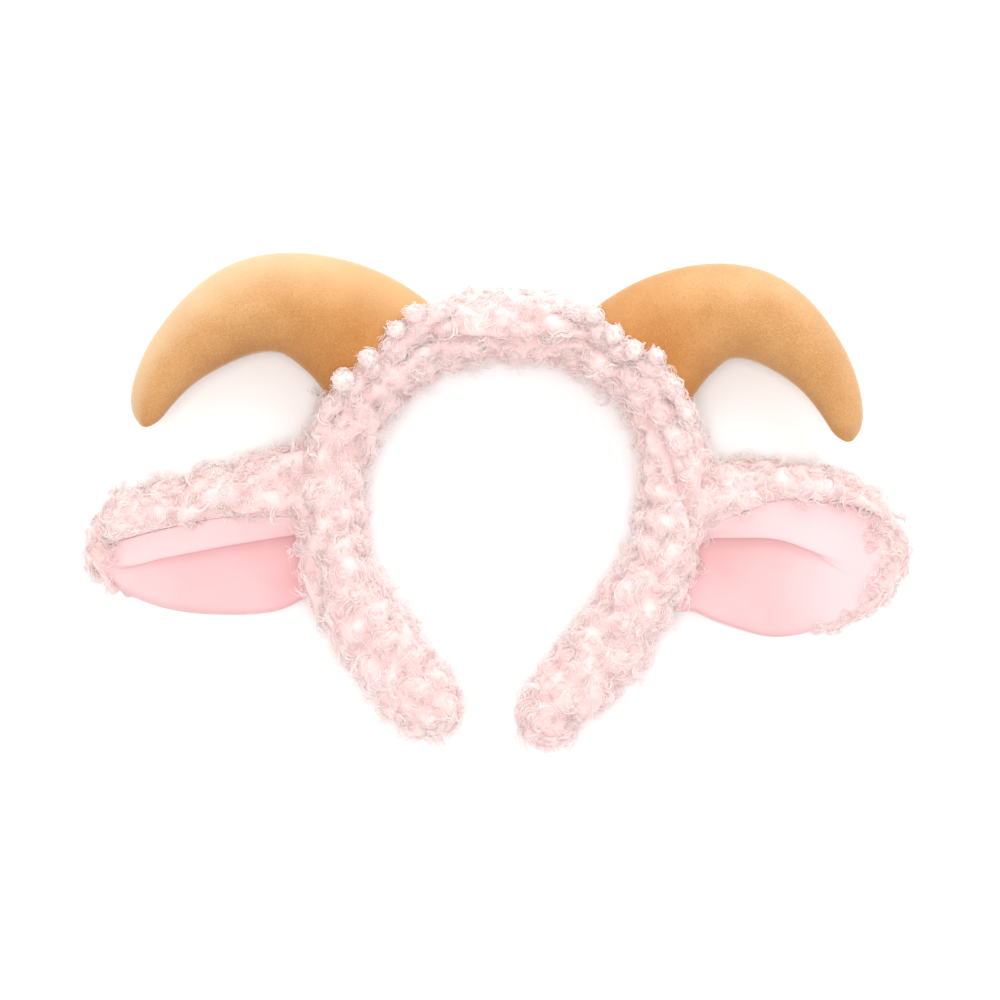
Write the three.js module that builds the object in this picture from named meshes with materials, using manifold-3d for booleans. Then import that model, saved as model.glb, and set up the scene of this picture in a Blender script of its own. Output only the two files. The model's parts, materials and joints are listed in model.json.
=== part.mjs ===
// A ram horns costume headband: a padded band in curly fleece, two stuffed velour horns and two lined, folded
// ears. It lies on its back edge on a flat surface. Millimetres: +X from the left ear to the right one, as seen
// from the front, +Y to the crown, +Z to the front.
import * as THREE from "three";
import { mergeVertices } from "three/addons/utils/BufferGeometryUtils.js";
import Module from "manifold-3d";

const wasm = await Module();
wasm.setup();

// Driving sizes of the band. Its thickness and depth are those of the fleece under the curl locks.
const bandHalfWidth = 65.5;
const bandHeight = 152;
const crownLean = 7.8;
const bandThickness = 20;
const bandDepth = 34;

// Driving sizes of the horns
const hornSeatFromCrown = 50.5;
const hornArch = { left: 18.3, right: 16.4 };
const hornReach = { left: 88.2, right: 77.6 };
const hornDroop = { left: 24.6, right: 29.2 };
const hornGirth = { left: 41, right: 39.4 };
const hornForward = 4.5;

// Driving sizes of the ears
const earSeatFromCrown = { left: 114.6, right: 115.4 };
const earLength = { left: 87.5, right: 85 };
const earHeight = 68;
const earBackPile = 7;
const earRollDepth = 10.5;
const earCup = 6;
const earRim = 1.6;
const liningThickness = 1.2;
const foldRise = 6;
const foldTuck = 4.5;
// The share of a fold's rise at which its step stands upright. A higher step is tucked in behind its edge, and
// a lower one leans, in the end over this share of the lining below it.
const foldUpright = 0.6;
const foldLean = 0.4;

// How far the surface that the headband lies on presses each soft piece flat
const pressed = { band: 1.2, horn: 0.7, ear: 0.8 };

// Driving sizes of the curl locks that the fleece is made of
const lockLength = 14;
const lockWidth = 9.5;
const lockHeight = 4.2;
const lockSpacing = 11;
const lockTaper = 0.35;

// The gap between pieces that touch
const clearance = 0.3;

// Fineness of the faces, and the size of the slivers that are taken out after a cut
const bandStations = 112;
const bandSides = 22;
const hornStations = 13;
const hornSides = 14;
const earStations = 22;
const tipCrowding = 1.3;
const sliver = 0.06;
const endRings = [0.4, 0.72, 0.92, 0.99];
const wallSteps = 2;

const X = new THREE.Vector3(1, 0, 0);
const Y = new THREE.Vector3(0, 1, 0);
const Z = new THREE.Vector3(0, 0, 1);
const SIDES = { left: -1, right: 1 };

// The band's centreline from the crown to the end of one leg: shares of its half width and height, and its
// bulk as a share of its thickness.
const BAND_ROWS = [
  { across: 0, down: 0, bulk: 1.14 },
  { across: 0.43, down: 0.035, bulk: 1.02 },
  { across: 0.793, down: 0.148, bulk: 0.98 },
  { across: 0.985, down: 0.3, bulk: 1 },
  { across: 1.012, down: 0.473, bulk: 1.03 },
  { across: 0.915, down: 0.655, bulk: 1.12 },
  { across: 0.668, down: 0.831, bulk: 1.27 },
  { across: 0.329, down: 1, bulk: 1.02 },
];

// A horn from its seat to its tip: shares of its reach, arch, droop and forward lean, and its width and depth
// as shares of its girth.
const HORN_ROWS = [
  { along: 0, arch: 0, droop: 0, forward: 0, width: 1.36, depth: 0.92 },
  { along: 0.155, arch: 0.57, droop: 0, forward: 0.05, width: 1.22, depth: 0.92 },
  { along: 0.373, arch: 1, droop: 0, forward: 0.15, width: 1.04, depth: 0.9 },
  { along: 0.59, arch: 0.93, droop: 0.06, forward: 0.3, width: 0.96, depth: 0.86 },
  { along: 0.765, arch: 0.55, droop: 0.2, forward: 0.5, width: 0.78, depth: 0.74 },
  { along: 0.903, arch: 0.25, droop: 0.45, forward: 0.75, width: 0.62, depth: 0.6 },
  { along: 0.98, arch: 0.06, droop: 0.8, forward: 0.92, width: 0.47, depth: 0.46 },
  { along: 1, arch: 0, droop: 1, forward: 1, width: 0.34, depth: 0.34 },
];

// An ear from its root to its tip. Along is a share of its length. Top, seam, ridge and bottom are shares of
// its height, measured from the middle of its root: the rolled fleece runs from top to seam, the lining from
// seam to bottom, and the fold's edge lies at ridge. Fold, cup, roll and pile are shares of how deep each is.
const EAR_ROWS = {
  left: [
    { along: 0, top: 0.42, seam: -0.01, ridge: -0.1, bottom: -0.45, fold: 1, cup: 1, roll: 1, pile: 1 },
    { along: 0.15, top: 0.34, seam: -0.01, ridge: -0.13, bottom: -0.53, fold: 1, cup: 0.6, roll: 1, pile: 1 },
    { along: 0.38, top: 0.23, seam: -0.02, ridge: -0.18, bottom: -0.55, fold: 0.9, cup: 0.2, roll: 1, pile: 1 },
    { along: 0.62, top: 0.16, seam: -0.08, ridge: -0.24, bottom: -0.52, fold: 0.7, roll: 0.8, pile: 1 },
    { along: 0.83, top: 0.09, seam: -0.15, ridge: -0.29, bottom: -0.42, fold: 0.35, roll: 0.55, pile: 0.9 },
    { along: 0.95, top: -0.03, seam: -0.2, ridge: -0.23, bottom: -0.27, fold: 0.05, roll: 0.3, pile: 0.75 },
    { along: 1, top: -0.14, seam: -0.165, ridge: -0.175, bottom: -0.185, roll: 0.1, pile: 0.4 },
  ],
  right: [
    { along: 0, top: 0.4, seam: -0.01, ridge: -0.05, bottom: -0.45, fold: 1, cup: 1, roll: 1, pile: 1 },
    { along: 0.15, top: 0.34, seam: 0.06, ridge: -0.05, bottom: -0.53, fold: 1, cup: 0.6, roll: 1, pile: 1 },
    { along: 0.38, top: 0.33, seam: 0.16, ridge: -0.06, bottom: -0.6, fold: 0.8, cup: 0.2, roll: 0.8, pile: 1 },
    { along: 0.62, top: 0.28, seam: 0.15, ridge: -0.15, bottom: -0.54, fold: 0.45, roll: 0.6, pile: 1 },
    { along: 0.83, top: 0.19, seam: 0.08, ridge: -0.17, bottom: -0.4, fold: 0.15, roll: 0.45, pile: 0.9 },
    { along: 0.95, top: 0.05, seam: -0.06, ridge: -0.13, bottom: -0.24, fold: 0.06, roll: 0.3, pile: 0.75 },
    { along: 1, top: -0.08, seam: -0.11, ridge: -0.125, bottom: -0.15, roll: 0.1, pile: 0.4 },
  ],
};
// The lining ends this many stations short of the ear's tip.
const bareTip = 3;

// A smooth curve through the named columns of a table's rows, in which a column left out is 0. Its point at t
// holds the columns' values there.
function curveThrough(rows, columns) {
  const points = rows.map((row) => new THREE.Vector3(...columns.map((name) => row[name] ?? 0)));
  return new THREE.CatmullRomCurve3(points, false, "catmullrom", 0.5);
}

// The share t at which a curve's first value, which rises all along, reaches the value asked for
function shareWhere(curve, value) {
  let low = 0;
  let high = 1;
  for (let halving = 0; halving < 40; halving++) {
    const middle = (low + high) / 2;
    if (curve.getPoint(middle).x < value) low = middle;
    else high = middle;
  }
  return (low + high) / 2;
}

// A point moved along each of some directions by its distance
function at(origin, ...moves) {
  const start = origin.clone();
  return moves.reduce((point, [direction, distance]) => point.addScaledVector(direction, distance), start);
}

// The triangles that fill a flat outline, all turned the way the outline runs
function fill(outline) {
  const runs = Math.sign(THREE.ShapeUtils.area(outline));
  return THREE.ShapeUtils.triangulateShape(outline, []).map(([a, b, c]) => {
    const same = Math.sign(THREE.ShapeUtils.area([outline[a], outline[b], outline[c]])) === runs;
    return same ? [a, b, c] : [a, c, b];
  });
}

// A closed skin over a row of rings with equally many points. Outline is the rings' shape laid flat, for the
// ends.
function skinOver(rings, outline) {
  const count = outline.length;
  const ends = fill(outline);
  const last = (rings.length - 1) * count;
  const faces = [];
  for (let ring = 0; ring < rings.length - 1; ring++) {
    for (let i = 0; i < count; i++) {
      const a = ring * count + i;
      const b = ring * count + ((i + 1) % count);
      faces.push([a, b, b + count], [a, b + count, a + count]);
    }
  }
  for (const [a, b, c] of ends) faces.push([a, c, b], [last + a, last + b, last + c]);
  const geometry = new THREE.BufferGeometry().setFromPoints(rings.flat());
  return geometry.setIndex(faces.flat());
}

// A solid from a closed geometry, whichever way its faces are turned, without those that have shrunk to
// nothing
function solidFrom(geometry) {
  const merged = mergeVertices(geometry, 1e-4);
  const vertProperties = merged.getAttribute("position").array;
  const corners = Array.from(merged.index.array);
  const faces = corners.map((_, i) => corners.slice(i, i + 3)).filter((_, i) => i % 3 === 0);
  const whole = faces.filter(([a, b, c]) => a !== b && b !== c && c !== a);
  const build = (list) =>
    new wasm.Manifold(new wasm.Mesh({ numProp: 3, vertProperties, triVerts: new Uint32Array(list.flat()) }));
  const made = build(whole);
  return made.volume() > 0 ? made : build(whole.map(([a, b, c]) => [a, c, b]));
}

// The largest body of a solid, without the crumbs and slivers that a cut leaves
function mainBody(solid) {
  const bodies = solid.asOriginal().simplify(sliver).decompose();
  return bodies.reduce((largest, body) => (body.volume() > largest.volume() ? body : largest));
}

// A solid's faces, each with its own corners so that it is drawn flat
function geometryOf(solid) {
  const { numProp, vertProperties, triVerts } = solid.getMesh();
  const count = vertProperties.length / numProp;
  const positions = new Float32Array(count * 3);
  for (let i = 0; i < count; i++) positions.set(vertProperties.subarray(i * numProp, i * numProp + 3), i * 3);
  const geometry = new THREE.BufferGeometry();
  geometry.setAttribute("position", new THREE.BufferAttribute(positions, 3));
  geometry.setIndex(new THREE.BufferAttribute(triVerts, 1));
  const flat = geometry.toNonIndexed();
  flat.computeVertexNormals();
  return flat;
}

// An oval tube through stations of { centre, across, lift, heading, halfAcross, halfLift }. A station's
// section is spanned by its across and lift directions. Past its ends a tube is rounded, and a station there
// faces its heading by its end share. The skin is raised by what swell says for a station and an angle.
function ovalTube(stations, sides, swell) {
  const angles = Array.from({ length: sides }, (_, i) => ((i + 0.5) / sides) * 2 * Math.PI);
  const outline = angles.map((angle) => new THREE.Vector2(Math.cos(angle), Math.sin(angle)));
  const rings = stations.map((s) =>
    outline.map((p, i) => {
      const skin = at(s.centre, [s.across, p.x * s.halfAcross], [s.lift, p.y * s.halfLift]);
      const slope = [[s.across, p.x / s.halfAcross], [s.lift, p.y / s.halfLift]];
      const end = s.end ?? 0;
      const facing = at(new THREE.Vector3(), ...slope).setLength(Math.sqrt(1 - end * end));
      return at(skin, [facing.addScaledVector(s.heading, end), swell(s, angles[i])]);
    }),
  );
  return solidFrom(skinOver(rings, outline));
}

// The stations that round off a tube beyond its last station, heading the way it points
function roundEnd(station, heading) {
  const bulge = Math.min(station.halfAcross, station.halfLift);
  return endRings.map((share) => {
    const shrink = Math.sqrt(1 - share * share);
    return {
      ...station,
      heading,
      end: share,
      centre: at(station.centre, [heading, bulge * share]),
      halfAcross: station.halfAcross * shrink,
      halfLift: station.halfLift * shrink,
    };
  });
}

// A repeatable scatter between 0 and 1: the fraction left of a large sine
function scatter(index, seed) {
  const value = 43758.5453 * Math.sin(12.9898 * (index + 1) + 78.233 * seed);
  return value - Math.floor(value);
}

// Curl locks in staggered rows over a strip of fleece of a length and a width, each bent its own way
function combLocks(length, width, seed) {
  const rows = Math.round(length / lockSpacing);
  const columns = Math.round(width / lockSpacing);
  return Array.from({ length: (rows + 1) * columns }, (_, index) => {
    const row = Math.floor(index / columns);
    const column = (index % columns) + 0.25 + 0.5 * (row % 2);
    return {
      along: (length * (row + 0.5 * (scatter(index, seed) - 0.5))) / rows,
      across: (width * (column + 0.4 * (scatter(index, seed + 1) - 0.5))) / columns,
      turn: 2 * Math.PI * scatter(index, seed + 2),
      size: 1 + 0.4 * (scatter(index, seed + 3) - 0.5),
    };
  });
}

// How far the locks raise the fleece at a place of its strip: by the highest of the domes that reach it, each
// drawn out to one side
function lockRise(locks, along, across) {
  const rises = locks.map((lock) => {
    const offset = new THREE.Vector2(along - lock.along, across - lock.across);
    const turned = offset.rotateAround(new THREE.Vector2(), -lock.turn);
    const p = turned.x / (0.5 * lockLength * lock.size);
    const q = turned.y / (0.5 * lockWidth * lock.size * Math.max(1 - lockTaper * p, lockTaper));
    return lockHeight * lock.size * Math.sqrt(Math.max(0, 1 - p * p - q * q));
  });
  return Math.max(...rises);
}

// The band's centreline, from the end of the left leg over the crown to the end of the right leg
const bandCurve = (() => {
  const place = (side) => (row) => ({
    x: side * row.across * bandHalfWidth + crownLean * (0.5 - row.down),
    y: -row.down * bandHeight,
    bulk: row.bulk,
  });
  const left = BAND_ROWS.map(place(SIDES.left)).reverse();
  const right = BAND_ROWS.slice(1).map(place(SIDES.right));
  const curve = curveThrough([...left, ...right], ["x", "y", "bulk"]);
  curve.arcLengthDivisions = 400;
  return curve;
})();
const bandLengths = bandCurve.getLengths(bandCurve.arcLengthDivisions);
const bandLength = bandLengths[bandLengths.length - 1];
const crownAt = bandLengths[bandCurve.arcLengthDivisions / 2];

// The band at a distance from its crown along its centreline, which is negative down the left leg
function bandAt(distance) {
  const share = THREE.MathUtils.clamp((crownAt + distance) / bandLength, 0, 1);
  const here = bandCurve.getPointAt(share);
  const heading = bandCurve.getTangentAt(share).setZ(0).normalize();
  const outward = new THREE.Vector3(-heading.y, heading.x, 0);
  return {
    centre: new THREE.Vector3(here.x, here.y, bandDepth / 2 - pressed.band),
    across: outward,
    lift: Z,
    heading,
    halfAcross: (bandThickness / 2) * here.z,
    halfLift: bandDepth / 2,
  };
}

// The locks of the band lie from its outside over its front to its inside, and none where it is pressed flat.
const bandWrap = { from: -0.16 * Math.PI, to: 1.16 * Math.PI };
const bandGirth = 0.5 * (bandWrap.to - bandWrap.from) * 0.5 * (bandThickness + bandDepth);
const bandLocks = combLocks(bandLength, bandGirth, 1);

// The band's fleece with its locks, larger all round by the growth
function bandBody(growth) {
  const step = bandLength / (bandStations - 1);
  const places = Array.from({ length: bandStations }, (_, i) => i * step);
  const stations = places.map((along) => ({ ...bandAt(along - crownAt), along }));
  const first = stations[0];
  const last = stations[stations.length - 1];
  const past = (s, side) => ({ ...s, along: s.along + side * Math.asin(s.end) * s.halfAcross });
  const leftEnd = roundEnd(first, first.heading.clone().negate()).map((s) => past(s, -1)).reverse();
  const rightEnd = roundEnd(last, last.heading).map((s) => past(s, 1));
  const swell = (s, angle) => {
    const wrapped = angle > 1.5 * Math.PI ? angle - 2 * Math.PI : angle;
    const share = (wrapped - bandWrap.from) / (bandWrap.to - bandWrap.from);
    const rise = lockRise(bandLocks, s.along, share * bandGirth);
    return growth + THREE.MathUtils.lerp(rise, 0.5 * lockHeight, (s.end ?? 0) ** 4);
  };
  return ovalTube([...leftEnd, ...stations, ...rightEnd], bandSides, swell);
}

// Where a horn or an ear sits: a point on the outside of the band's fleece
function seatAt(distance) {
  const s = bandAt(distance);
  return { ...s, point: at(s.centre, [s.across, s.halfAcross]).setZ(0) };
}

// A horn from inside the band to its tip
function hornBody(name) {
  const side = SIDES[name];
  const seat = seatAt(side * hornSeatFromCrown);
  const girth = hornGirth[name];
  const height = (HORN_ROWS[0].depth * girth) / 2 - pressed.horn;
  const placed = HORN_ROWS.map((row) => ({
    x: seat.point.x + side * row.along * hornReach[name],
    y: seat.point.y + row.arch * hornArch[name] - row.droop * hornDroop[name],
    z: height + row.forward * hornForward,
    halfAcross: (row.width * girth) / 2,
    halfLift: (row.depth * girth) / 2,
  }));
  const rows = [{ ...placed[0], x: seat.centre.x, y: seat.centre.y }, ...placed];
  const places = curveThrough(rows, ["x", "y", "z"]);
  const sizes = curveThrough(rows, ["halfAcross", "halfLift"]);
  const stations = Array.from({ length: hornStations }, (_, i) => {
    const t = i / (hornStations - 1);
    const heading = places.getTangent(t).setZ(0).normalize();
    const size = sizes.getPoint(t);
    return {
      centre: places.getPoint(t),
      across: new THREE.Vector3(-heading.y, heading.x, 0),
      lift: Z,
      heading,
      halfAcross: size.x,
      halfLift: size.y,
    };
  });
  const tip = stations[stations.length - 1];
  return ovalTube([...stations, ...roundEnd(tip, tip.heading)], hornSides, () => 0);
}

// The named widths of an ear at a share of its length
function earWidths(rows, along) {
  const edges = curveThrough(rows, ["along", "top", "bottom"]);
  const t = shareWhere(edges, along);
  const edge = edges.getPoint(t);
  const fold = curveThrough(rows, ["seam", "ridge", "fold"]).getPoint(t);
  const depth = curveThrough(rows, ["cup", "roll", "pile"]).getPoint(t);
  return {
    top: edge.y * earHeight,
    bottom: edge.z * earHeight,
    seam: fold.x * earHeight,
    ridge: fold.y * earHeight,
    fold: Math.max(fold.z, 0),
    cup: Math.max(depth.x, 0),
    roll: depth.y,
    pile: depth.z,
  };
}

// A line moved sideways at each of its points: to its left for a positive distance, as seen while walking
// along it
function moved(line, distanceAt) {
  return line.map((point, i) => {
    const before = line[Math.max(i - 1, 0)];
    const after = line[Math.min(i + 1, line.length - 1)];
    const along = after.clone().sub(before).normalize();
    return point.clone().add(new THREE.Vector2(-along.y, along.x).multiplyScalar(distanceAt(i)));
  });
}

// Flat points from a list of pairs
function flatPoints(pairs) {
  return pairs.map(([v, z]) => new THREE.Vector2(v, z));
}

// A wall's face: a smooth line at a distance to one side of the points that the wall's middle runs through
function faceOf(middle, distance) {
  const line = moved(middle, () => distance).map((p) => new THREE.Vector3(p.x, p.y, 0));
  const curve = new THREE.CatmullRomCurve3(line, false, "catmullrom", 0.5);
  return curve.getPoints(wallSteps * (line.length - 1)).map((p) => new THREE.Vector2(p.x, p.y));
}

// An ear's section, in heights across the ear and depths above the surface. It holds points in the middle of
// the lining's wall from the bottom edge over the fold to the seam, and the fleece's outside from the seam over
// the rolled top and back.
function earSection(rows, along) {
  const w = earWidths(rows, along);
  const floor = earBackPile * w.pile + clearance + 0.5 * liningThickness;
  const rise = foldRise * w.fold;
  const lean = foldLean * (w.ridge - w.bottom) * Math.max(0, 1 - w.fold / foldUpright);
  const tuck = (foldTuck * Math.max(0, w.fold - foldUpright)) / (1 - foldUpright);
  const cup = earCup * w.cup;
  const seamDepth = floor + rise + 0.5 * earRollDepth * w.roll * w.fold;
  const strip = w.seam - w.ridge;
  const roll = w.top - w.seam;
  const middle = flatPoints([
    [w.bottom, floor + cup],
    [w.bottom + 0.5 * (w.ridge - w.bottom), floor + 0.25 * cup],
    [w.ridge + 0.5 * tuck - lean, floor],
    [w.ridge + tuck - 0.75 * lean, floor + 0.25 * rise],
    [w.ridge + 0.5 * tuck - 0.4 * lean, floor + 0.5 * rise],
    [w.ridge, floor + 0.8 * rise],
    [w.ridge + 0.3 * strip, floor + rise + 0.25 * (seamDepth - floor - rise)],
    [w.seam, seamDepth],
  ]);
  const back = -pressed.ear;
  const front = faceOf(middle, 0.5 * liningThickness);
  const bottomEdge = front[0];
  const seamEdge = front[front.length - 1];
  const seamRun = seamEdge.clone().sub(front[front.length - 2]).normalize();
  const bottomRun = front[1].clone().sub(bottomEdge).normalize();
  const rolled = flatPoints([
    [w.seam + 0.18 * roll, seamDepth + 0.34 * earRollDepth * w.roll],
    [w.seam + 0.45 * roll, seamDepth + 0.42 * earRollDepth * w.roll],
    [w.seam + 0.8 * roll, seamDepth + 0.18 * earRollDepth * w.roll],
    [w.top, 0.5 * seamDepth + 0.12 * earRollDepth * w.roll],
    [w.top - 0.24 * roll, back + 0.9 * cup],
    [0.5 * (w.top + w.bottom), back],
    [w.bottom + 0.1 * (w.top - w.bottom), back + 0.75 * cup],
    [w.bottom - earRim, 0.55 * floor + 0.9 * cup],
  ]);
  const start = seamEdge.clone().addScaledVector(seamRun, clearance);
  const end = bottomEdge.clone().addScaledVector(bottomRun, -clearance);
  return { middle, outside: [start, ...rolled, end] };
}

// The stations of an ear from inside the band to its tip, closer together towards the tip
function earStationsOf(name) {
  const root = -(0.5 * bandThickness) / earLength[name];
  return Array.from({ length: earStations }, (_, i) => {
    const left = 1 - i / (earStations - 1);
    const along = root + (1 - root) * (1 - left ** tipCrowding);
    const lined = i < earStations - bareTip;
    return { along, lined, ...earSection(EAR_ROWS[name], Math.max(along, 0)) };
  });
}

// A skin along an ear's stations. The shape turns each station into a closed outline.
function earSkin(name, stations, shape) {
  const side = SIDES[name];
  const seat = seatAt(side * earSeatFromCrown[name]);
  const outlines = stations.map(shape);
  const rings = outlines.map((outline, i) =>
    outline.map((p) => at(seat.point, [X, side * stations[i].along * earLength[name]], [Y, p.x], [Z, p.y])),
  );
  return solidFrom(skinOver(rings, outlines[0]));
}

// The cloth of an ear's inside: a wall with its two faces on either side of its middle
function earLining(name) {
  const stations = earStationsOf(name).filter((s) => s.lined);
  const half = 0.5 * liningThickness;
  const wall = ({ middle }) => [...faceOf(middle, half), ...faceOf(middle, -half).reverse()];
  return earSkin(name, stations, wall);
}

// The fleece of an ear, raised by its locks from the seam on, and filled out in front where no lining lies
function earBack(name) {
  const length = earLength[name];
  const locks = combLocks(length, earHeight, SIDES[name] + 6);
  return earSkin(name, earStationsOf(name), ({ along, lined, middle, outside }) => {
    const face = lined ? -0.5 * liningThickness - clearance : 0.5 * liningThickness;
    const steps = outside.map((p, i) => p.distanceTo(outside[Math.max(i - 1, 0)]));
    const reach = (i) => steps.slice(0, i + 1).reduce((sum, each) => sum + each);
    const rise = (i) => Math.min(1, reach(i) / lockHeight) * lockRise(locks, along * length, reach(i));
    return [...faceOf(middle, face), ...moved(outside, rise)];
  });
}

// All that lies under the surface that the headband rests on
const underSurface = (() => {
  const across = 8 * bandHalfWidth;
  const slab = new THREE.BoxGeometry(across, across, bandDepth);
  slab.deleteAttribute("normal");
  slab.deleteAttribute("uv");
  slab.translate(0, -bandHeight / 2, -bandDepth / 2);
  return solidFrom(slab);
})();

// What the horns and ears are cut to fit
const grownBand = bandBody(clearance);

const fleece = { color: 0xf7dcd9, roughness: 1, metalness: 0 };
const velour = { color: 0xe0a868, roughness: 0.9, metalness: 0 };
const satin = { color: 0xfbd0d2, roughness: 0.6, metalness: 0 };

// A named sub-part
function named(name, solid, finish) {
  const mesh = new THREE.Mesh(geometryOf(mainBody(solid)), new THREE.MeshStandardMaterial(finish));
  mesh.name = name;
  return mesh;
}

const headband = new THREE.Group();
headband.add(named("band", bandBody(0).subtract(underSurface), fleece));
for (const name of Object.keys(SIDES)) {
  const horn = hornBody(name).subtract(grownBand).subtract(underSurface);
  headband.add(named(`horn_${name}`, horn, velour));
  headband.add(named(`ear_lining_${name}`, earLining(name).subtract(grownBand), satin));
  const back = earBack(name).subtract(grownBand).subtract(underSurface);
  headband.add(named(`ear_back_${name}`, back, fleece));
}

// The origin is the middle of the headband's outline, on the surface that it rests on.
const extent = new THREE.Box3().setFromObject(headband);
const middle = extent.getCenter(new THREE.Vector3());
headband.position.set(-middle.x, -middle.y, -extent.min.z);

export default headband;
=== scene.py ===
"""The looks of a ram horns costume headband: curly fleece, velour horns and satin-lined ears.

The headband lies on its back edge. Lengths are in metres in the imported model's frame: +X from the left ear to
the right one, as seen from the front, +Y to the crown and +Z to the front. Each shape is worked out as whole
arrays from the sizes that its class holds.
"""

import json
import logging
import math
from dataclasses import dataclass, field, replace
from enum import Enum

import bpy
import numpy as np
from numpy.typing import NDArray
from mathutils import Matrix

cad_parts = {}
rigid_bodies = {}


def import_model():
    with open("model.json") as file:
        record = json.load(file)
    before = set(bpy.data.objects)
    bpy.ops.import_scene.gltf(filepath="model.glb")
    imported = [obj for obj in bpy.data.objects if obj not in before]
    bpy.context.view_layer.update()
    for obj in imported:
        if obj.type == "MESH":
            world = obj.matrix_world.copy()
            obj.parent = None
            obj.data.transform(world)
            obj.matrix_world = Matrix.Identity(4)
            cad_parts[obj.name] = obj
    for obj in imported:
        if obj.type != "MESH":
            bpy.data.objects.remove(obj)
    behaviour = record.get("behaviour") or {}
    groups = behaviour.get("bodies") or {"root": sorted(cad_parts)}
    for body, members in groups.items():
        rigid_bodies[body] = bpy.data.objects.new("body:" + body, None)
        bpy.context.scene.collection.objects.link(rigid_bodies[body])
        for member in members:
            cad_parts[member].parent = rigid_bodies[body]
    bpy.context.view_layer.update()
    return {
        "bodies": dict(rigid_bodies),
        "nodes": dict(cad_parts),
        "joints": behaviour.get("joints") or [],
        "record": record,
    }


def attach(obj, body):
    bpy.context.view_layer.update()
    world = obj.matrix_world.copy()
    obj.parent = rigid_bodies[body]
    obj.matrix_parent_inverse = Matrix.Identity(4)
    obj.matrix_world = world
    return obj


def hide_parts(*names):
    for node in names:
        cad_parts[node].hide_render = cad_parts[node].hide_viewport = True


log = logging.getLogger("headband")

Array = NDArray[np.float64]
Colour = tuple[float, float, float]

MM = 0.001
UP = np.array([0.0, 0.0, 1.0])


class Side(Enum):
    """The side of the headband that a horn or an ear is on, seen from the front."""

    LEFT = -1
    RIGHT = 1

    @property
    def label(self) -> str:
        """The side's name as the nodes carry it."""
        return self.name.lower()


# Curves and surfaces


def unit(vectors: Array) -> Array:
    """Scales each vector to length one, and leaves a vector without length alone."""
    lengths = np.linalg.norm(vectors, axis=-1, keepdims=True)
    return vectors / np.maximum(lengths, 1e-12)


def ease(values: Array, low: float, high: float) -> Array:
    """Rises smoothly from 0 at low to 1 at high, as 3t^2 - 2t^3."""
    t = np.clip((values - low) / (high - low), 0.0, 1.0)
    return t * t * (3 - 2 * t)


def smooth_through(rows: Array, places: Array) -> Array:
    """Reads a smooth curve through rows.

    Between two rows the curve is the cubic that passes both, and that at each of them heads from the row
    before to the row after. Before the first row and after the last the rows run on by their end steps.

    Args:
        rows: The rows that the curve passes, (..., n, k).
        places: Where it is read, from 0 at the first row to 1 at the last, (m,).

    Returns:
        The curve's points, (..., m, k).
    """
    count = rows.shape[-2]
    before = 2 * rows[..., :1, :] - rows[..., 1:2, :]
    after = 2 * rows[..., -1:, :] - rows[..., -2:-1, :]
    knots = np.concatenate([before, rows, after], axis=-2)
    reach = np.clip(places, 0.0, 1.0) * (count - 1)
    span = np.minimum(reach.astype(int), count - 2)
    t = (reach - span)[:, None]
    a, b, c, d = (knots[..., span + step, :] for step in range(4))
    bend = 2 * a - 5 * b + 4 * c - d
    twist = 3 * b - a - 3 * c + d
    return b + 0.5 * t * (c - a + t * (bend + t * twist))


def walked(points: Array) -> Array:
    """The distance walked along each line of points, (..., m), from 0 at its first point."""
    steps = np.linalg.norm(np.diff(points, axis=-2), axis=-1)
    start = np.zeros(steps.shape[:-1] + (1,))
    return np.concatenate([start, np.cumsum(steps, axis=-1)], axis=-1)


@dataclass(frozen=True)
class Skin:
    """A surface as a grid: its points and the way that it faces at each, both (rows, columns, 3)."""

    points: Array
    facing: Array

    def part(self, first: int, last: int) -> "Skin":
        """The rows of the skin from the first to before the last."""
        return Skin(self.points[first:last], self.facing[first:last])

    def raised(self, height: Array | float) -> Array:
        """The points moved out along the way that they face by a height."""
        return self.points + self.facing * np.asarray(height)[..., None]


@dataclass(frozen=True)
class Roots:
    """Places on a skin where curls are rooted: their points and the ways that they face, both (n, 3)."""

    points: Array
    facing: Array

    def picked(self, chosen: Array) -> "Roots":
        """The roots that a mask or a list of numbers names."""
        return Roots(self.points[chosen], self.facing[chosen])


# How many places are drawn for each square of the spacing, and the least weight that widens the distance
DRAWS_PER_SQUARE = 5
LEAST_WEIGHT = 0.05


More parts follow.
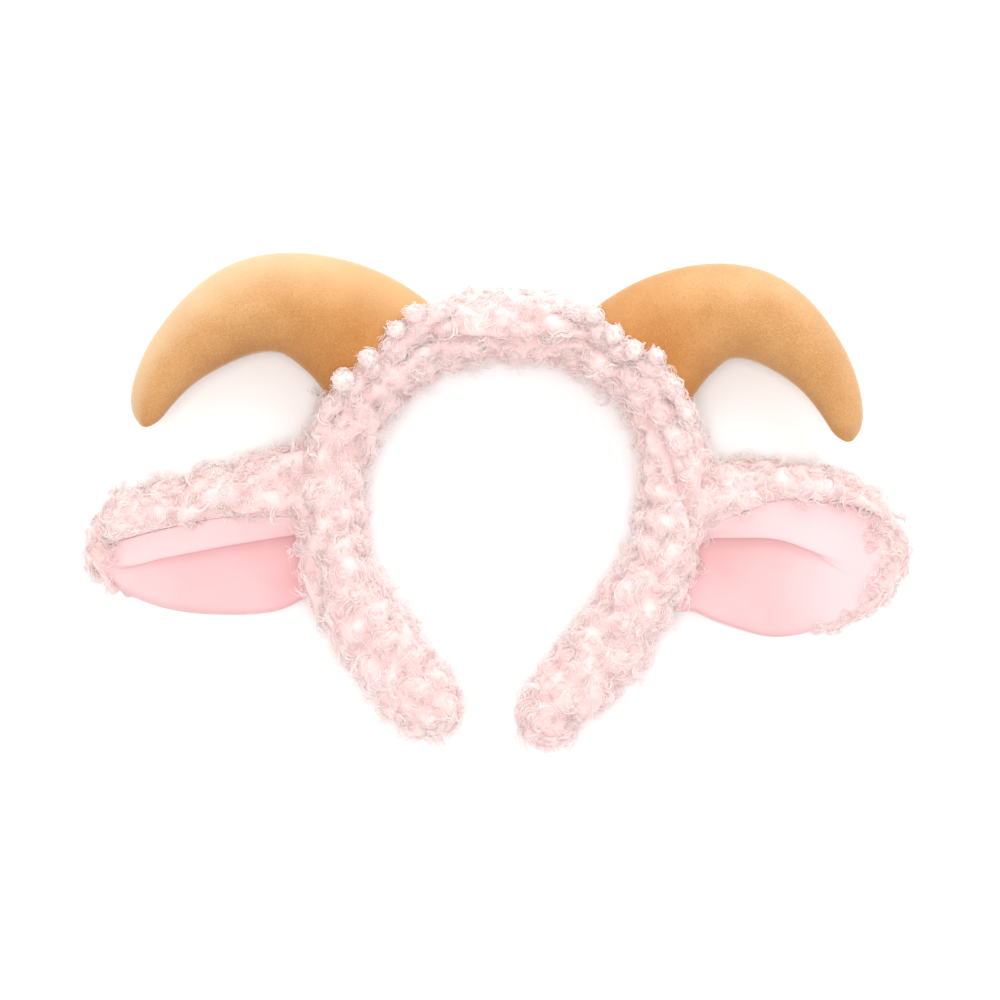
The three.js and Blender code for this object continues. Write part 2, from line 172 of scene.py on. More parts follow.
def spread_roots(skin: Skin, spacing: float, weight: Array, rng: np.random.Generator) -> Roots:
    """Spreads roots over a skin so that they keep a distance from each other.

    Far more places than needed are drawn, each with a chance that is its cell's area times its weight. Then
    every place that was drawn before all its near neighbours stays and clears them away, until none is left.

    Args:
        skin: The surface.
        spacing: The least distance between two roots.
        weight: The share of the full density that each grid point asks for, (rows, columns).
        rng: Where the random numbers come from.

    Returns:
        The roots.
    """
    corner = skin.points[:-1, :-1]
    edge_u = skin.points[1:, :-1] - corner
    edge_v = skin.points[:-1, 1:] - corner
    area = np.linalg.norm(np.cross(edge_u, edge_v), axis=-1)
    chance = (area * weight[:-1, :-1]).ravel()
    drawn = int(DRAWS_PER_SQUARE * chance.sum() / spacing**2) + 4
    cells = rng.choice(len(chance), size=drawn, p=chance / chance.sum())
    u, v = rng.random((2, drawn, 1))
    row, column = np.unravel_index(cells, area.shape)
    points = corner[row, column] + u * edge_u[row, column] + v * edge_v[row, column]
    facing = skin.facing[row, column]
    squares = (points**2).sum(axis=1)
    gaps = squares[:, None] + squares[None] - 2 * points @ points.T
    reach = spacing**2 / np.clip(weight[row, column], LEAST_WEIGHT, 1.0)
    near = gaps < reach[:, None]
    order = np.arange(drawn)
    open_places = np.ones(drawn, bool)
    kept = np.zeros(drawn, bool)
    while open_places.any():
        earliest = np.where(near & open_places[None], order[None], drawn).min(axis=1)
        winners = open_places & (order <= earliest)
        kept |= winners
        open_places &= ~(winners | near[:, winners].any(axis=1))
    return Roots(points[kept], unit(facing[kept]))


# Meshes


def grid_faces(rows: int, columns: int, wraps: bool) -> Array:
    """The four-cornered faces between the points of a grid.

    Args:
        rows: The grid's rows.
        columns: The grid's columns.
        wraps: Whether its last column joins its first.

    Returns:
        The corners of each face, (n, 4).
    """
    row = np.arange(rows - 1)[:, None]
    column = np.arange(columns if wraps else columns - 1)[None]
    after = (column + 1) % columns
    corners = [row * columns + column, row * columns + after, (row + 1) * columns + after]
    corners.append((row + 1) * columns + column)
    return np.stack(np.broadcast_arrays(*corners), axis=-1).reshape(-1, 4)


def volume_of(points: Array, faces: list[Array]) -> float:
    """The volume inside closed faces: a sixth of the sum of their corners' triple products."""
    total = 0.0
    for group in faces:
        for corner in range(1, group.shape[1] - 1):
            a, b, c = points[group[:, 0]], points[group[:, corner]], points[group[:, corner + 1]]
            total += float(np.einsum("ij,ij->", a, np.cross(b, c))) / 6
    return total


def make_piece(name: str, points: Array, faces: list[Array], marks: dict[str, Array],
               smooth: bool = True) -> bpy.types.Object:
    """Makes a mesh object whose faces point outwards.

    Args:
        name: The piece's name.
        points: Its points, (n, 3).
        faces: Groups of faces with equally many corners, each (f, k).
        marks: Named numbers for its material, each (n,).
        smooth: Whether its faces are shaded smooth.

    Returns:
        The new object, with its place in its mesh.
    """
    if volume_of(points, faces) < 0:
        faces = [group[:, ::-1] for group in faces]
    sizes = np.concatenate([np.full(len(group), group.shape[1]) for group in faces])
    corners = np.concatenate([group.ravel() for group in faces])
    mesh = bpy.data.meshes.new(name)
    mesh.vertices.add(len(points))
    mesh.vertices.foreach_set("co", points.astype(np.float32).ravel())
    mesh.loops.add(len(corners))
    mesh.loops.foreach_set("vertex_index", corners.astype(np.int32))
    mesh.polygons.add(len(sizes))
    mesh.polygons.foreach_set("loop_start", (np.cumsum(sizes) - sizes).astype(np.int32))
    mesh.update(calc_edges=True)
    if smooth:
        mesh.shade_smooth()
    else:
        mesh.shade_flat()
    for mark, values in marks.items():
        attribute = mesh.attributes.new(mark, "FLOAT", "POINT")
        attribute.data.foreach_set("value", values.astype(np.float32).ravel())
    piece = bpy.data.objects.new(name, mesh)
    bpy.context.scene.collection.objects.link(piece)
    return piece


def capped_tube(points: Array) -> tuple[Array, list[Array]]:
    """Closes a grid of rings, (rings, sides, 3), with a fan to a middle point at each end.

    Args:
        points: The rings' points.

    Returns:
        All points, with the two middle ones last, and the groups of faces.
    """
    rings, sides = points.shape[:2]
    body = grid_faces(rings, sides, wraps=True)
    around = np.arange(sides)
    after = (around + 1) % sides
    last = (rings - 1) * sides
    start = np.full(sides, rings * sides)
    fans = [np.stack([start, after, around], -1), np.stack([start + 1, last + around, last + after], -1)]
    ends = points[[0, -1]].mean(axis=1)
    return np.concatenate([points.reshape(-1, 3), ends]), [body, np.concatenate(fans)]


def flat_ended_tube(points: Array) -> tuple[Array, list[Array]]:
    """Closes a grid of rings, (rings, sides, 3), with one flat face at each end.

    Args:
        points: The rings' points.

    Returns:
        All points and the groups of faces.
    """
    rings, sides = points.shape[:2]
    around = np.arange(sides)[None]
    ends = np.concatenate([around[:, ::-1], (rings - 1) * sides + around])
    return points.reshape(-1, 3), [grid_faces(rings, sides, wraps=True), ends]


# Finishes. Their colours are linear light, from 0 to 1.


def set_inputs(node: bpy.types.Node, values: dict[str, object]) -> None:
    """Sets a node's inputs by their names in lower case with _ for a space; of two alike, the one in use."""
    inputs = {socket.name.lower().replace(" ", "_"): socket for socket in node.inputs if socket.enabled}
    for name, value in values.items():
        inputs[name].default_value = value


class Shading:
    """A new material's nodes, with short ways to add to them."""

    def __init__(self, name: str) -> None:
        """Starts a material that holds one Principled shader."""
        self.material = bpy.data.materials.new(name)
        self.material.use_nodes = True
        self.tree = self.material.node_tree
        self.shader = self.tree.nodes["Principled BSDF"]

    def add(self, kind: str, links: dict[str, bpy.types.NodeSocket] | None = None,
            **values: object) -> bpy.types.Node:
        """Adds a node.

        Args:
            kind: The node's type without its ShaderNode prefix.
            links: The outputs that lead into its inputs, by the inputs' names.
            values: The node's own settings, and its inputs' values under their names in lower case.

        Returns:
            The node.
        """
        node = self.tree.nodes.new("ShaderNode" + kind)
        settings = {key: value for key, value in values.items() if hasattr(node, key)}
        for key, value in settings.items():
            setattr(node, key, value)
        set_inputs(node, {key: value for key, value in values.items() if key not in settings})
        for key, output in (links or {}).items():
            self.tree.links.new(output, node.inputs[key])
        return node

    def mark(self, name: str) -> bpy.types.NodeSocket:
        """The number that each point of the mesh carries under a name."""
        return self.add("Attribute", attribute_name=name).outputs["Fac"]

    def noise(self, size: float, detail: float = 2.0, swirl: float = 0.0) -> bpy.types.NodeSocket:
        """A cloudy pattern on the object's own coordinates, whose clouds are about a size across.

        Args:
            size: The clouds' size.
            detail: How many finer layers it has.
            swirl: How much its clouds are drawn into swirls.

        Returns:
            The pattern, from 0 to 1.
        """
        place = self.add("TexCoord").outputs["Object"]
        node = self.add("TexNoise", {"Vector": place}, scale=1 / size, detail=detail, distortion=swirl)
        return node.outputs["Fac"]

    def ramp(self, value: bpy.types.NodeSocket, stops: list[tuple[float, Colour]]) -> bpy.types.NodeSocket:
        """Turns a number into a colour, by colours at stops."""
        node = self.add("ValToRGB", {"Fac": value})
        elements = node.color_ramp.elements
        for _ in stops[2:]:
            elements.new(0.5)
        for element, (place, colour) in zip(elements, stops):
            element.position = place
            element.color = (*colour, 1.0)
        return node.outputs["Color"]

    def mix(self, share: bpy.types.NodeSocket | float, low: bpy.types.NodeSocket,
            high: bpy.types.NodeSocket | Colour, way: str = "MIX") -> bpy.types.NodeSocket:
        """Mixes two colours.

        Args:
            share: How much of the second shows.
            low: The first colour.
            high: The second colour.
            way: How they are mixed.

        Returns:
            The mixed colour.
        """
        node = self.add("Mix", data_type="RGBA", blend_type=way, clamp_factor=True)
        factor, first, second = node.inputs[0], node.inputs[6], node.inputs[7]
        for socket, value in ((factor, share), (first, low), (second, high)):
            if isinstance(value, bpy.types.NodeSocket):
                self.tree.links.new(value, socket)
            else:
                socket.default_value = (*value, 1.0) if isinstance(value, tuple) else value
        return node.outputs[2]

    def range(self, value: bpy.types.NodeSocket, old: tuple[float, float], new: tuple[float, float]
              ) -> bpy.types.NodeSocket:
        """Stretches a number from one range to another, and holds it there."""
        ends = {"from_min": old[0], "from_max": old[1], "to_min": new[0], "to_max": new[1]}
        return self.add("MapRange", {"Value": value}, **ends).outputs["Result"]

    def bump(self, height: bpy.types.NodeSocket, depth: float, strength: float) -> None:
        """Gives the shader a relief.

        Args:
            height: The relief's height, from 0 to 1.
            depth: The real height of 1.
            strength: How much of it the light sees.
        """
        node = self.add("Bump", {"Height": height}, strength=strength, distance=depth)
        self.tree.links.new(node.outputs["Normal"], self.shader.inputs["Normal"])

    def finish(self, colour: bpy.types.NodeSocket | Colour, **values: object) -> bpy.types.Material:
        """Sets the shader.

        Args:
            colour: The base colour, or the output that leads into it.
            values: The shader's inputs under their names in lower case.

        Returns:
            The finished material.
        """
        if isinstance(colour, tuple):
            values["base_color"] = (*colour, 1.0)
        else:
            self.tree.links.new(colour, self.shader.inputs["Base Color"])
        set_inputs(self.shader, values)
        return self.material


@dataclass(frozen=True)
class FleeceFinish:
    """Curly fleece with cream and rose locks: pale at its tips, and a deeper pink low in the pile that is
    painted shade.
    """

    # root is the painted shade low in the pile, between the locks, in the partings and in the wool's hollows.
    root: Colour = (0.82, 0.625, 0.61)
    middle: Colour = (0.92, 0.765, 0.745)
    tip: Colour = (0.97, 0.85, 0.825)
    rose: Colour = (0.93, 0.68, 0.68)
    cream: Colour = (0.95, 0.85, 0.79)
    cloud: float = 16 * MM
    wool: float = 1.9 * MM
    relief: float = 0.9 * MM

    def material(self) -> bpy.types.Material:
        """Colours follow painted shade, deeper the lower a point stands over the cloth, and each lock's own
        tone.
        """
        shading = Shading("curly_fleece")
        height = shading.mark("height")
        body = shading.ramp(height, [(0.0, self.root), (0.25, self.middle), (0.7, self.tip)])
        tone = shading.mark("tone")
        body = shading.mix(shading.range(tone, (0.55, 1.0), (0.0, 0.55)), body, self.cream)
        body = shading.mix(shading.range(tone, (0.45, 0.0), (0.0, 0.5)), body, self.rose)
        wool = shading.noise(self.wool, 4.0, swirl=2.2)
        # Painted shade in the hollows of the wool's relief.
        body = shading.mix(shading.range(wool, (0.5, 0.3), (0.0, 0.2)), body, self.root)
        cloud = shading.range(shading.noise(self.cloud), (0.35, 0.65), (0.0, 0.2))
        body = shading.mix(cloud, body, self.rose, "MULTIPLY")
        shading.bump(wool, self.relief, 0.4)
        return shading.finish(
            body, roughness=1.0, sheen_weight=0.25, sheen_roughness=0.6, sheen_tint=(1.0, 0.95, 0.93, 1.0),
            specular_ior_level=0.1, subsurface_weight=0.6, subsurface_radius=(1.0, 0.8, 0.78),
            subsurface_scale=1.2 * MM)


@dataclass(frozen=True)
class VelourFinish:
    """Tan velour: a fine short nap in soft patches, a painted highlight along the upper edge, and deeper at the
    root.
    """

    deep: Colour = (0.45, 0.215, 0.076)
    body: Colour = (0.51, 0.26, 0.1)
    light: Colour = (0.60, 0.335, 0.15)
    # A painted highlight along the horn's upper edge, where the light falls.
    crest: Colour = (0.82, 0.63, 0.42)
    root: Colour = (0.88, 0.72, 0.52)
    patch: float = 22 * MM
    speck: float = 0.65 * MM
    nap: float = 0.35 * MM
    relief: float = 0.25 * MM

    def material(self) -> bpy.types.Material:
        """Colours follow the nap's patches and specks, the seams, a painted highlight on the upper edge and the
        root.
        """
        shading = Shading("horn_velour")
        patches = shading.noise(self.patch, 3.0)
        body = shading.ramp(patches, [(0.3, self.deep), (0.5, self.body), (0.72, self.light)])
        specks = shading.noise(self.speck, 4.0)
        body = shading.mix(shading.range(specks, (0.5, 0.7), (0.0, 0.75)), body, self.light)
        body = shading.mix(shading.range(specks, (0.5, 0.3), (0.0, 0.75)), body, self.deep)
        seam = shading.mark("seam")
        body = shading.mix(shading.range(seam, (0.0, 1.0), (0.0, 0.6)), body, self.deep)
        # A painted highlight along the upper edge.
        crest = shading.range(shading.mark("crest"), (0.0, 1.0), (0.0, 0.55))
        body = shading.mix(crest, body, self.crest)
        root = shading.range(shading.mark("root"), (0.0, 1.0), (0.0, 0.85))
        body = shading.mix(root, body, self.root, "MULTIPLY")
        shading.bump(shading.noise(self.nap, 3.0), self.relief, 0.5)
        return shading.finish(body, roughness=0.95, sheen_weight=0.55, sheen_roughness=0.35,
                              specular_ior_level=0.2, sheen_tint=(1.0, 0.86, 0.66, 1.0))


@dataclass(frozen=True)
class SatinFinish:
    """The pink cloth of the ears' insides: smooth, with a fine weave, and deeper towards the root, partly as
    painted shade.
    """

    # From pale to deep: painted light on the strip above the fold to painted shade under it, partly the satin's
    # own pink.
    deep: Colour = (0.76, 0.405, 0.415)
    body: Colour = (0.72, 0.4, 0.405)
    pale: Colour = (0.84, 0.59, 0.6)
    weave: float = 0.45 * MM
    cloud: float = 25 * MM
    relief: float = 0.05 * MM

    def material(self) -> bpy.types.Material:
        """Colours follow painted shade, deepest under the fold near the root, with faint clouds and a weave of
        two waves.
        """
        shading = Shading("ear_satin")
        # Painted shade under the fold, partly the satin's own deeper pink near the root.
        depth = shading.mark("shade")
        body = shading.ramp(depth, [(0.0, self.pale), (0.5, self.body), (1.0, self.deep)])
        cloud = shading.range(shading.noise(self.cloud), (0.3, 0.7), (0.0, 0.25))
        body = shading.mix(cloud, body, self.pale)
        place = shading.add("TexCoord").outputs["Object"]
        waves = [
            shading.add("TexWave", {"Vector": place}, bands_direction=axis, scale=1 / (3.14 * self.weave))
            for axis in ("X", "Y")
        ]
        woven = shading.add("Math", {}, operation="MULTIPLY")
        for index, wave in enumerate(waves):
            shading.tree.links.new(wave.outputs["Fac"], woven.inputs[index])
        shading.bump(woven.outputs["Value"], self.relief, 0.3)
        return shading.finish(body, roughness=0.6, sheen_weight=0.3, sheen_roughness=0.4,
                              specular_ior_level=0.3, sheen_tint=(1.0, 0.9, 0.9, 1.0))


# Fleece: the locks that swell it, and the curls that stand on it


def scatter(index: Array, seed: int) -> Array:
    """A repeatable scatter between 0 and 1: the fraction left of a large sine."""
    value = 43758.5453 * np.sin(12.9898 * (index + 1) + 78.233 * seed)
    return value - np.floor(value)


def softened(grid: Array, passes: int = 2) -> Array:
    """Evens out a grid along its first axis: each inner row moves halfway to its neighbours' mean."""
    evened = grid.copy()
    for _ in range(passes):
        evened[1:-1] += 0.25 * (evened[:-2] + evened[2:] - 2 * evened[1:-1])
    return evened


@dataclass(frozen=True)
class Locks:
    """Locks in staggered rows over a strip of fleece, each a dome drawn out to one side."""

    strip_length: float
    strip_width: float
    seed: int
    length: float = 14 * MM
    width: float = 9.5 * MM
    height: float = 4.2 * MM
    spacing: float = 11 * MM
    taper: float = 0.35

    def rise(self, along: Array, across: Array) -> Array:
        """How far the locks raise the fleece.

        A lock raises it by the height of an ellipsoid's dome over its turned and tapered oval, and where
        locks meet the highest counts.

        Args:
            along: Distances along the strip, of any shape.
            across: Distances across the strip, of the same shape.

        Returns:
            The rise at each place.
        """
        rows = round(self.strip_length / self.spacing)
        columns = round(self.strip_width / self.spacing)
        rise = np.zeros(np.broadcast(along, across).shape)
        for index in range((rows + 1) * columns):
            row, column = divmod(index, columns)
            middle = self.strip_length * (row + 0.5 * (scatter(index, self.seed) - 0.5)) / rows
            shift = 0.25 + 0.5 * (row % 2) + 0.4 * (scatter(index, self.seed + 1) - 0.5)
            aside = self.strip_width * (column + shift) / columns
            turn = 2 * math.pi * scatter(index, self.seed + 2)
            size = 1 + 0.4 * (scatter(index, self.seed + 3) - 0.5)
            run, side = along - middle, across - aside
            p = (run * np.cos(turn) + side * np.sin(turn)) / (0.5 * self.length * size)
            narrow = np.maximum(1 - self.taper * p, self.taper)
            q = (side * np.cos(turn) - run * np.sin(turn)) / (0.5 * self.width * size * narrow)
            dome = self.height * size * np.sqrt(np.maximum(0, 1 - p * p - q * q))
            rise = np.maximum(rise, dome)
        return softened(softened(rise).swapaxes(0, 1)).swapaxes(0, 1)


@dataclass(frozen=True)
class CurlStyle:
    """How one form of curl is wound. Pairs are (least, most), and leans are in degrees.

    Spread is how far round the curl its strands start, climb how high they rise, settle how far they come
    down again, bundle how far apart they lie, and frizz how large their own wave is.
    """

    turns: tuple[float, float]
    radius: tuple[float, float]
    lean: tuple[float, float]
    spread: float
    climb: float
    settle: float
    bundle: float
    strands: int
    thickness: float
    frizz: float


class CurlForm(Enum):
    """The forms that the fleece's curls take."""

    RING = CurlStyle(
        turns=(0.4, 0.8), radius=(1.5 * MM, 2.8 * MM), lean=(0, 30), spread=1.0, climb=1.2 * MM, settle=0.9,
        bundle=0.5 * MM, strands=11, thickness=0.12 * MM, frizz=0.15 * MM)
    COMMA = CurlStyle(
        turns=(0.2, 0.45), radius=(3 * MM, 5 * MM), lean=(0, 30), spread=0.1, climb=1.4 * MM, settle=0.8,
        bundle=0.9 * MM, strands=10, thickness=0.12 * MM, frizz=0.2 * MM)
    KNOB = CurlStyle(
        turns=(0.3, 0.6), radius=(1.2 * MM, 2 * MM), lean=(0, 20), spread=1.0, climb=0.5 * MM, settle=1.0,
        bundle=0.35 * MM, strands=10, thickness=0.12 * MM, frizz=0.12 * MM)
    LOOP = CurlStyle(
        turns=(0.85, 1.05), radius=(3 * MM, 3.2 * MM), lean=(0, 15), spread=1.0, climb=0.6 * MM, settle=1.0,
        bundle=0.5 * MM, strands=9, thickness=0.13 * MM, frizz=0.25 * MM)
    STRAY = CurlStyle(
        turns=(0.3, 0.7), radius=(2.0 * MM, 4.0 * MM), lean=(30, 80), spread=0.4, climb=2.0 * MM, settle=0.3,
        bundle=0.8 * MM, strands=2, thickness=0.07 * MM, frizz=0.3 * MM)


# No fibre is pressed nearer to the floor than this.
FLOOR_GAP = 0.15 * MM
# Curls take painted shade by their height over the cloth, as a share of this pile, and start this deep in it.
PILE = 1.4 * MM
SUNK = 0.3 * MM
# The cloth under the curls counts as this high where its locks are highest, so it takes the pile's deeper
# painted shade.
CLOTH_SHADE_HEIGHT = 0.08


@dataclass(frozen=True)
class Strands:
    """Fibres: their paths and radii, the ways that their curls' axes point, and marks for the material."""

    paths: Array
    radii: Array
    axes: Array
    height: Array
    tone: Array

    @staticmethod
    def joined(groups: list["Strands"]) -> "Strands":
        """All the strands of several groups."""
        names = ("paths", "radii", "axes", "height", "tone")
        return Strands(*(np.concatenate([getattr(group, name) for group in groups]) for name in names))

    def piece(self, name: str, sides: int = 3) -> bpy.types.Object:
        """Makes one mesh of a closed, tapered tube round each path.

        A tube's ring stands across the path, on the direction square to the path and its curl's axis and on
        the one square to both, and its ends are closed by flat faces.

        Args:
            name: The piece's name.
            sides: The tubes' sides.

        Returns:
            The piece.
        """
        count, steps = self.paths.shape[:2]
        heading = unit(np.gradient(self.paths, axis=1))
        inward = unit(np.cross(heading, self.axes))
        upward = np.cross(inward, heading)
        angles = 2 * np.pi * np.arange(sides) / sides
        ring = inward[:, :, None] * np.cos(angles)[:, None] + upward[:, :, None] * np.sin(angles)[:, None]
        paths = self.paths.copy()
        paths[..., 2] = np.maximum(paths[..., 2], FLOOR_GAP + self.radii)
        points = paths[:, :, None] + ring * self.radii[:, :, None, None]
        walls = grid_faces(steps, sides, wraps=True)
        around = np.arange(sides)[None]
        ends = np.concatenate([around[:, ::-1], (steps - 1) * sides + around])
        offsets = (np.arange(count) * steps * sides)[:, None, None]
        groups = [(group[None] + offsets).reshape(-1, group.shape[1]) for group in (walls, ends)]
        height = np.repeat(self.height.ravel(), sides)
        tone = np.repeat(self.tone.ravel(), steps * sides)
        marks = {"height": height, "tone": tone}
        return make_piece(name, points.reshape(-1, 3), groups, marks, smooth=False)


def wind_curls(roots: Roots, form: CurlForm, rng: np.random.Generator, steps: int = 6) -> Strands:
    """Winds a curl of several strands at each root.

    The strands are arcs of a shrinking circle about the curl's axis, which leans away from the way the cloth
    faces. In a ring they start all round it, and in a comma side by side at the root. Each rises from the
    cloth as a sine's arch, keeps a distance of its own to the others, and has a small wave.

    Args:
        roots: Where the curls stand.
        form: What they look like.
        rng: Where the random numbers come from.
        steps: The points on each strand.

    Returns:
        The strands of all curls.
    """
    style = form.value
    count, strands = len(roots.points), style.strands
    share = np.linspace(0, 1, steps)
    facing = roots.facing[:, None, None]
    aside = unit(np.cross(facing, rng.normal(size=(count, 1, 1, 3))))
    lean = np.radians(rng.uniform(*style.lean, (count, 1, 1, 1)))
    axis = np.cos(lean) * facing + np.sin(lean) * aside
    low = np.cos(lean) * aside - np.sin(lean) * facing
    level = np.cross(facing, aside)

    hand = rng.choice([-1.0, 1.0], (count, 1, 1))
    start = 2 * np.pi * style.spread * rng.random((count, strands, 1))
    angle = start + hand * 2 * np.pi * rng.uniform(*style.turns, (count, strands, 1)) * share
    radial = np.cos(angle)[..., None] * low + np.sin(angle)[..., None] * level
    size = rng.uniform(*style.radius, (count, 1, 1))
    spray = style.bundle * rng.normal(0, 1, (2, count, strands, 1)) * (0.5 + share)
    wave = 2 * np.pi * (rng.uniform(1.0, 2.2, (count, strands, 1)) * share + rng.random((count, strands, 1)))
    out = size * (1 - 0.3 * share) + spray[0] + style.frizz * np.sin(wave)
    over = spray[1] + style.frizz * np.cos(wave)
    arch = np.sin(np.pi * share * (0.5 + 0.5 * style.settle))
    climb = style.climb * rng.uniform(0.5, 1.2, (count, strands, 1)) * arch - SUNK
    anchor = (1 - style.spread) * size[..., None] * radial[:, :, :1]
    middle = roots.points[:, None, None] - anchor
    paths = middle + out[..., None] * radial + over[..., None] * axis + climb[..., None] * facing

    taper = np.sqrt(1 - 0.8 * (2 * share - 1) ** 2)
    radii = style.thickness * rng.uniform(0.8, 1.2, (count, strands, 1)) * taper
    height = ((paths - roots.points[:, None, None]) * facing).sum(axis=-1) / PILE
    tone = rng.random((count, 1)) + rng.normal(0, 0.12, (count, strands))
    total = count * strands
    return Strands(
        paths.reshape(total, steps, 3),
        radii.reshape(total, steps),
        np.broadcast_to(axis, paths.shape).reshape(total, steps, 3),
        np.clip(height, 0, 1).reshape(total, steps),
        np.clip(tone, 0, 1).reshape(total),
    )


def curl_up(roots: Roots, rng: np.random.Generator, rings: float = 0.55, strays: float = 0.3) -> Strands:
    """Gives each root a ring or a comma, and some roots a stray fibre.

    Args:
        roots: Where the curls stand.
        rng: Where the random numbers come from.
        rings: The share of rings.
        strays: The share of roots with stray fibres.

    Returns:
        The strands.
    """
    draw = rng.random(len(roots.points))
    groups = [
        wind_curls(roots.picked(draw < rings), CurlForm.RING, rng),
        wind_curls(roots.picked(draw >= rings), CurlForm.COMMA, rng),
        wind_curls(roots.picked(rng.random(len(draw)) < strays), CurlForm.STRAY, rng),
    ]
    return Strands.joined(groups)


# The band


@dataclass(frozen=True)
class Sections:
    """Oval sections along a tube, a row of each array for each section."""

    centre: Array
    across: Array
    heading: Array
    half_across: Array
    half_lift: Array
    facing_end: Array

    def closed(self, steps: int, at_start: bool) -> "Sections":
        """Adds round ends: sections that shrink as an angle's cosine while they move on as its sine.

        Args:
            steps: The sections of each round end.
            at_start: Whether the tube's start is rounded too.

        Returns:
            The sections with their ends.
        """
        angle = np.linspace(0, np.pi / 2, steps + 2)[1:-1]
        result = self
        if at_start:
            result = result.reversed().closed(steps, at_start=False).reversed()
        last = Sections(*(value[-1:] for value in result.columns()))
        bulge = np.minimum(last.half_across, last.half_lift)
        cap = Sections(
            last.centre + last.heading * (bulge * np.sin(angle))[:, None],
            np.repeat(last.across, steps, 0),
            np.repeat(last.heading, steps, 0),
            last.half_across * np.cos(angle),
            last.half_lift * np.cos(angle),
            np.sin(angle),
        )
        return Sections(*(np.concatenate(pair) for pair in zip(result.columns(), cap.columns())))

    def columns(self) -> tuple[Array, ...]:
        """The arrays, in order."""
        return (self.centre, self.across, self.heading, self.half_across, self.half_lift, self.facing_end)

    def reversed(self) -> "Sections":
        """The same tube walked the other way."""
        flipped = [value[::-1] for value in self.columns()]
        flipped[2] = -flipped[2]
        return Sections(*flipped)

    def skin(self, angles: Array) -> Skin:
        """The tube's skin.

        A point of a section lies at the cosine of its angle times the half width across, and its sine times
        the half lift upwards. It faces the way the oval does, and round an end also the way the tube heads.

        Args:
            angles: The angles round each section, 0 across and a quarter turn upwards.

        Returns:
            The skin, (sections, angles).
        """
        cosine = np.cos(angles)[None, :, None]
        sine = np.sin(angles)[None, :, None]
        across, heading = self.across[:, None], self.heading[:, None]
        wide, tall = self.half_across[:, None, None], self.half_lift[:, None, None]
        points = self.centre[:, None] + across * cosine * wide + UP * sine * tall
        slope = unit(across * cosine / wide + UP * sine / tall)
        end = self.facing_end[:, None, None]
        return Skin(points, slope * np.sqrt(1 - end**2) + heading * end)


# The band's centreline from its crown to the end of a leg: across as a share of its half width, down as a
# share of its height, and its bulk as a share of its thickness
BAND_ROWS = np.array([
    (0, 0, 1.14),
    (0.43, 0.035, 1.02),
    (0.793, 0.148, 0.98),
    (0.985, 0.3, 1),
    (1.012, 0.473, 1.03),
    (0.915, 0.655, 1.12),
    (0.668, 0.831, 1.27),
    (0.329, 1, 1.02),
])


# Where the fleece parts: distances from the crown in millimetres, and angles round from the band's outside in
# degrees
PARTINGS = [
    np.array([(-72, 57), (-87, 72), (-102, 64), (-120, 62)]),
    np.array([(-36, 86), (-18, 112), (-3, 128), (16, 118), (32, 95)]),
    np.array([(76, 120), (94, 100), (113, 52)]),
]

# The knobs at the horns' roots: distances from the crown in millimetres, how far out of the band's middle as
# shares of its half thickness, and radii in millimetres
KNOBS = {
    Side.LEFT: np.array([(-33, 1.08, 4.1), (-41, 0.9, 3.8), (-55, 0.72, 4.1), (-66, 0.86, 4.6)]),
    Side.RIGHT: np.array([(29, 0.8, 3.6), (38, 0.55, 4.0), (47, 0.55, 4.2), (54, 0.95, 3.6)]),
}

# The collars of fleece over the horns' roots: distances from the crown, how far out, and radii, in the knobs'
# units
COLLARS = {
    Side.LEFT: np.array([
        (-80, 0.75, 2.5),
        (-70, 0.6, 4),
        (-58, 0.42, 4.6),
        (-45, 0.42, 5.2),
        (-33, 0.62, 4.8),
        (-22, 0.8, 2.5),
    ]),
    Side.RIGHT: np.array([
        (20, 0.7, 2.5),
        (30, 0.5, 3.8),
        (41, 0.25, 4.4),
        (53, 0.5, 4.6),
        (64, 0.7, 4),
        (76, 0.8, 2.5),
    ]),
}


# The loose ringlet: its distance from the crown, how far inside the band's edge it stands, and its height
LOOSE_LOOP = (50 * MM, 5.4 * MM, 20 * MM)


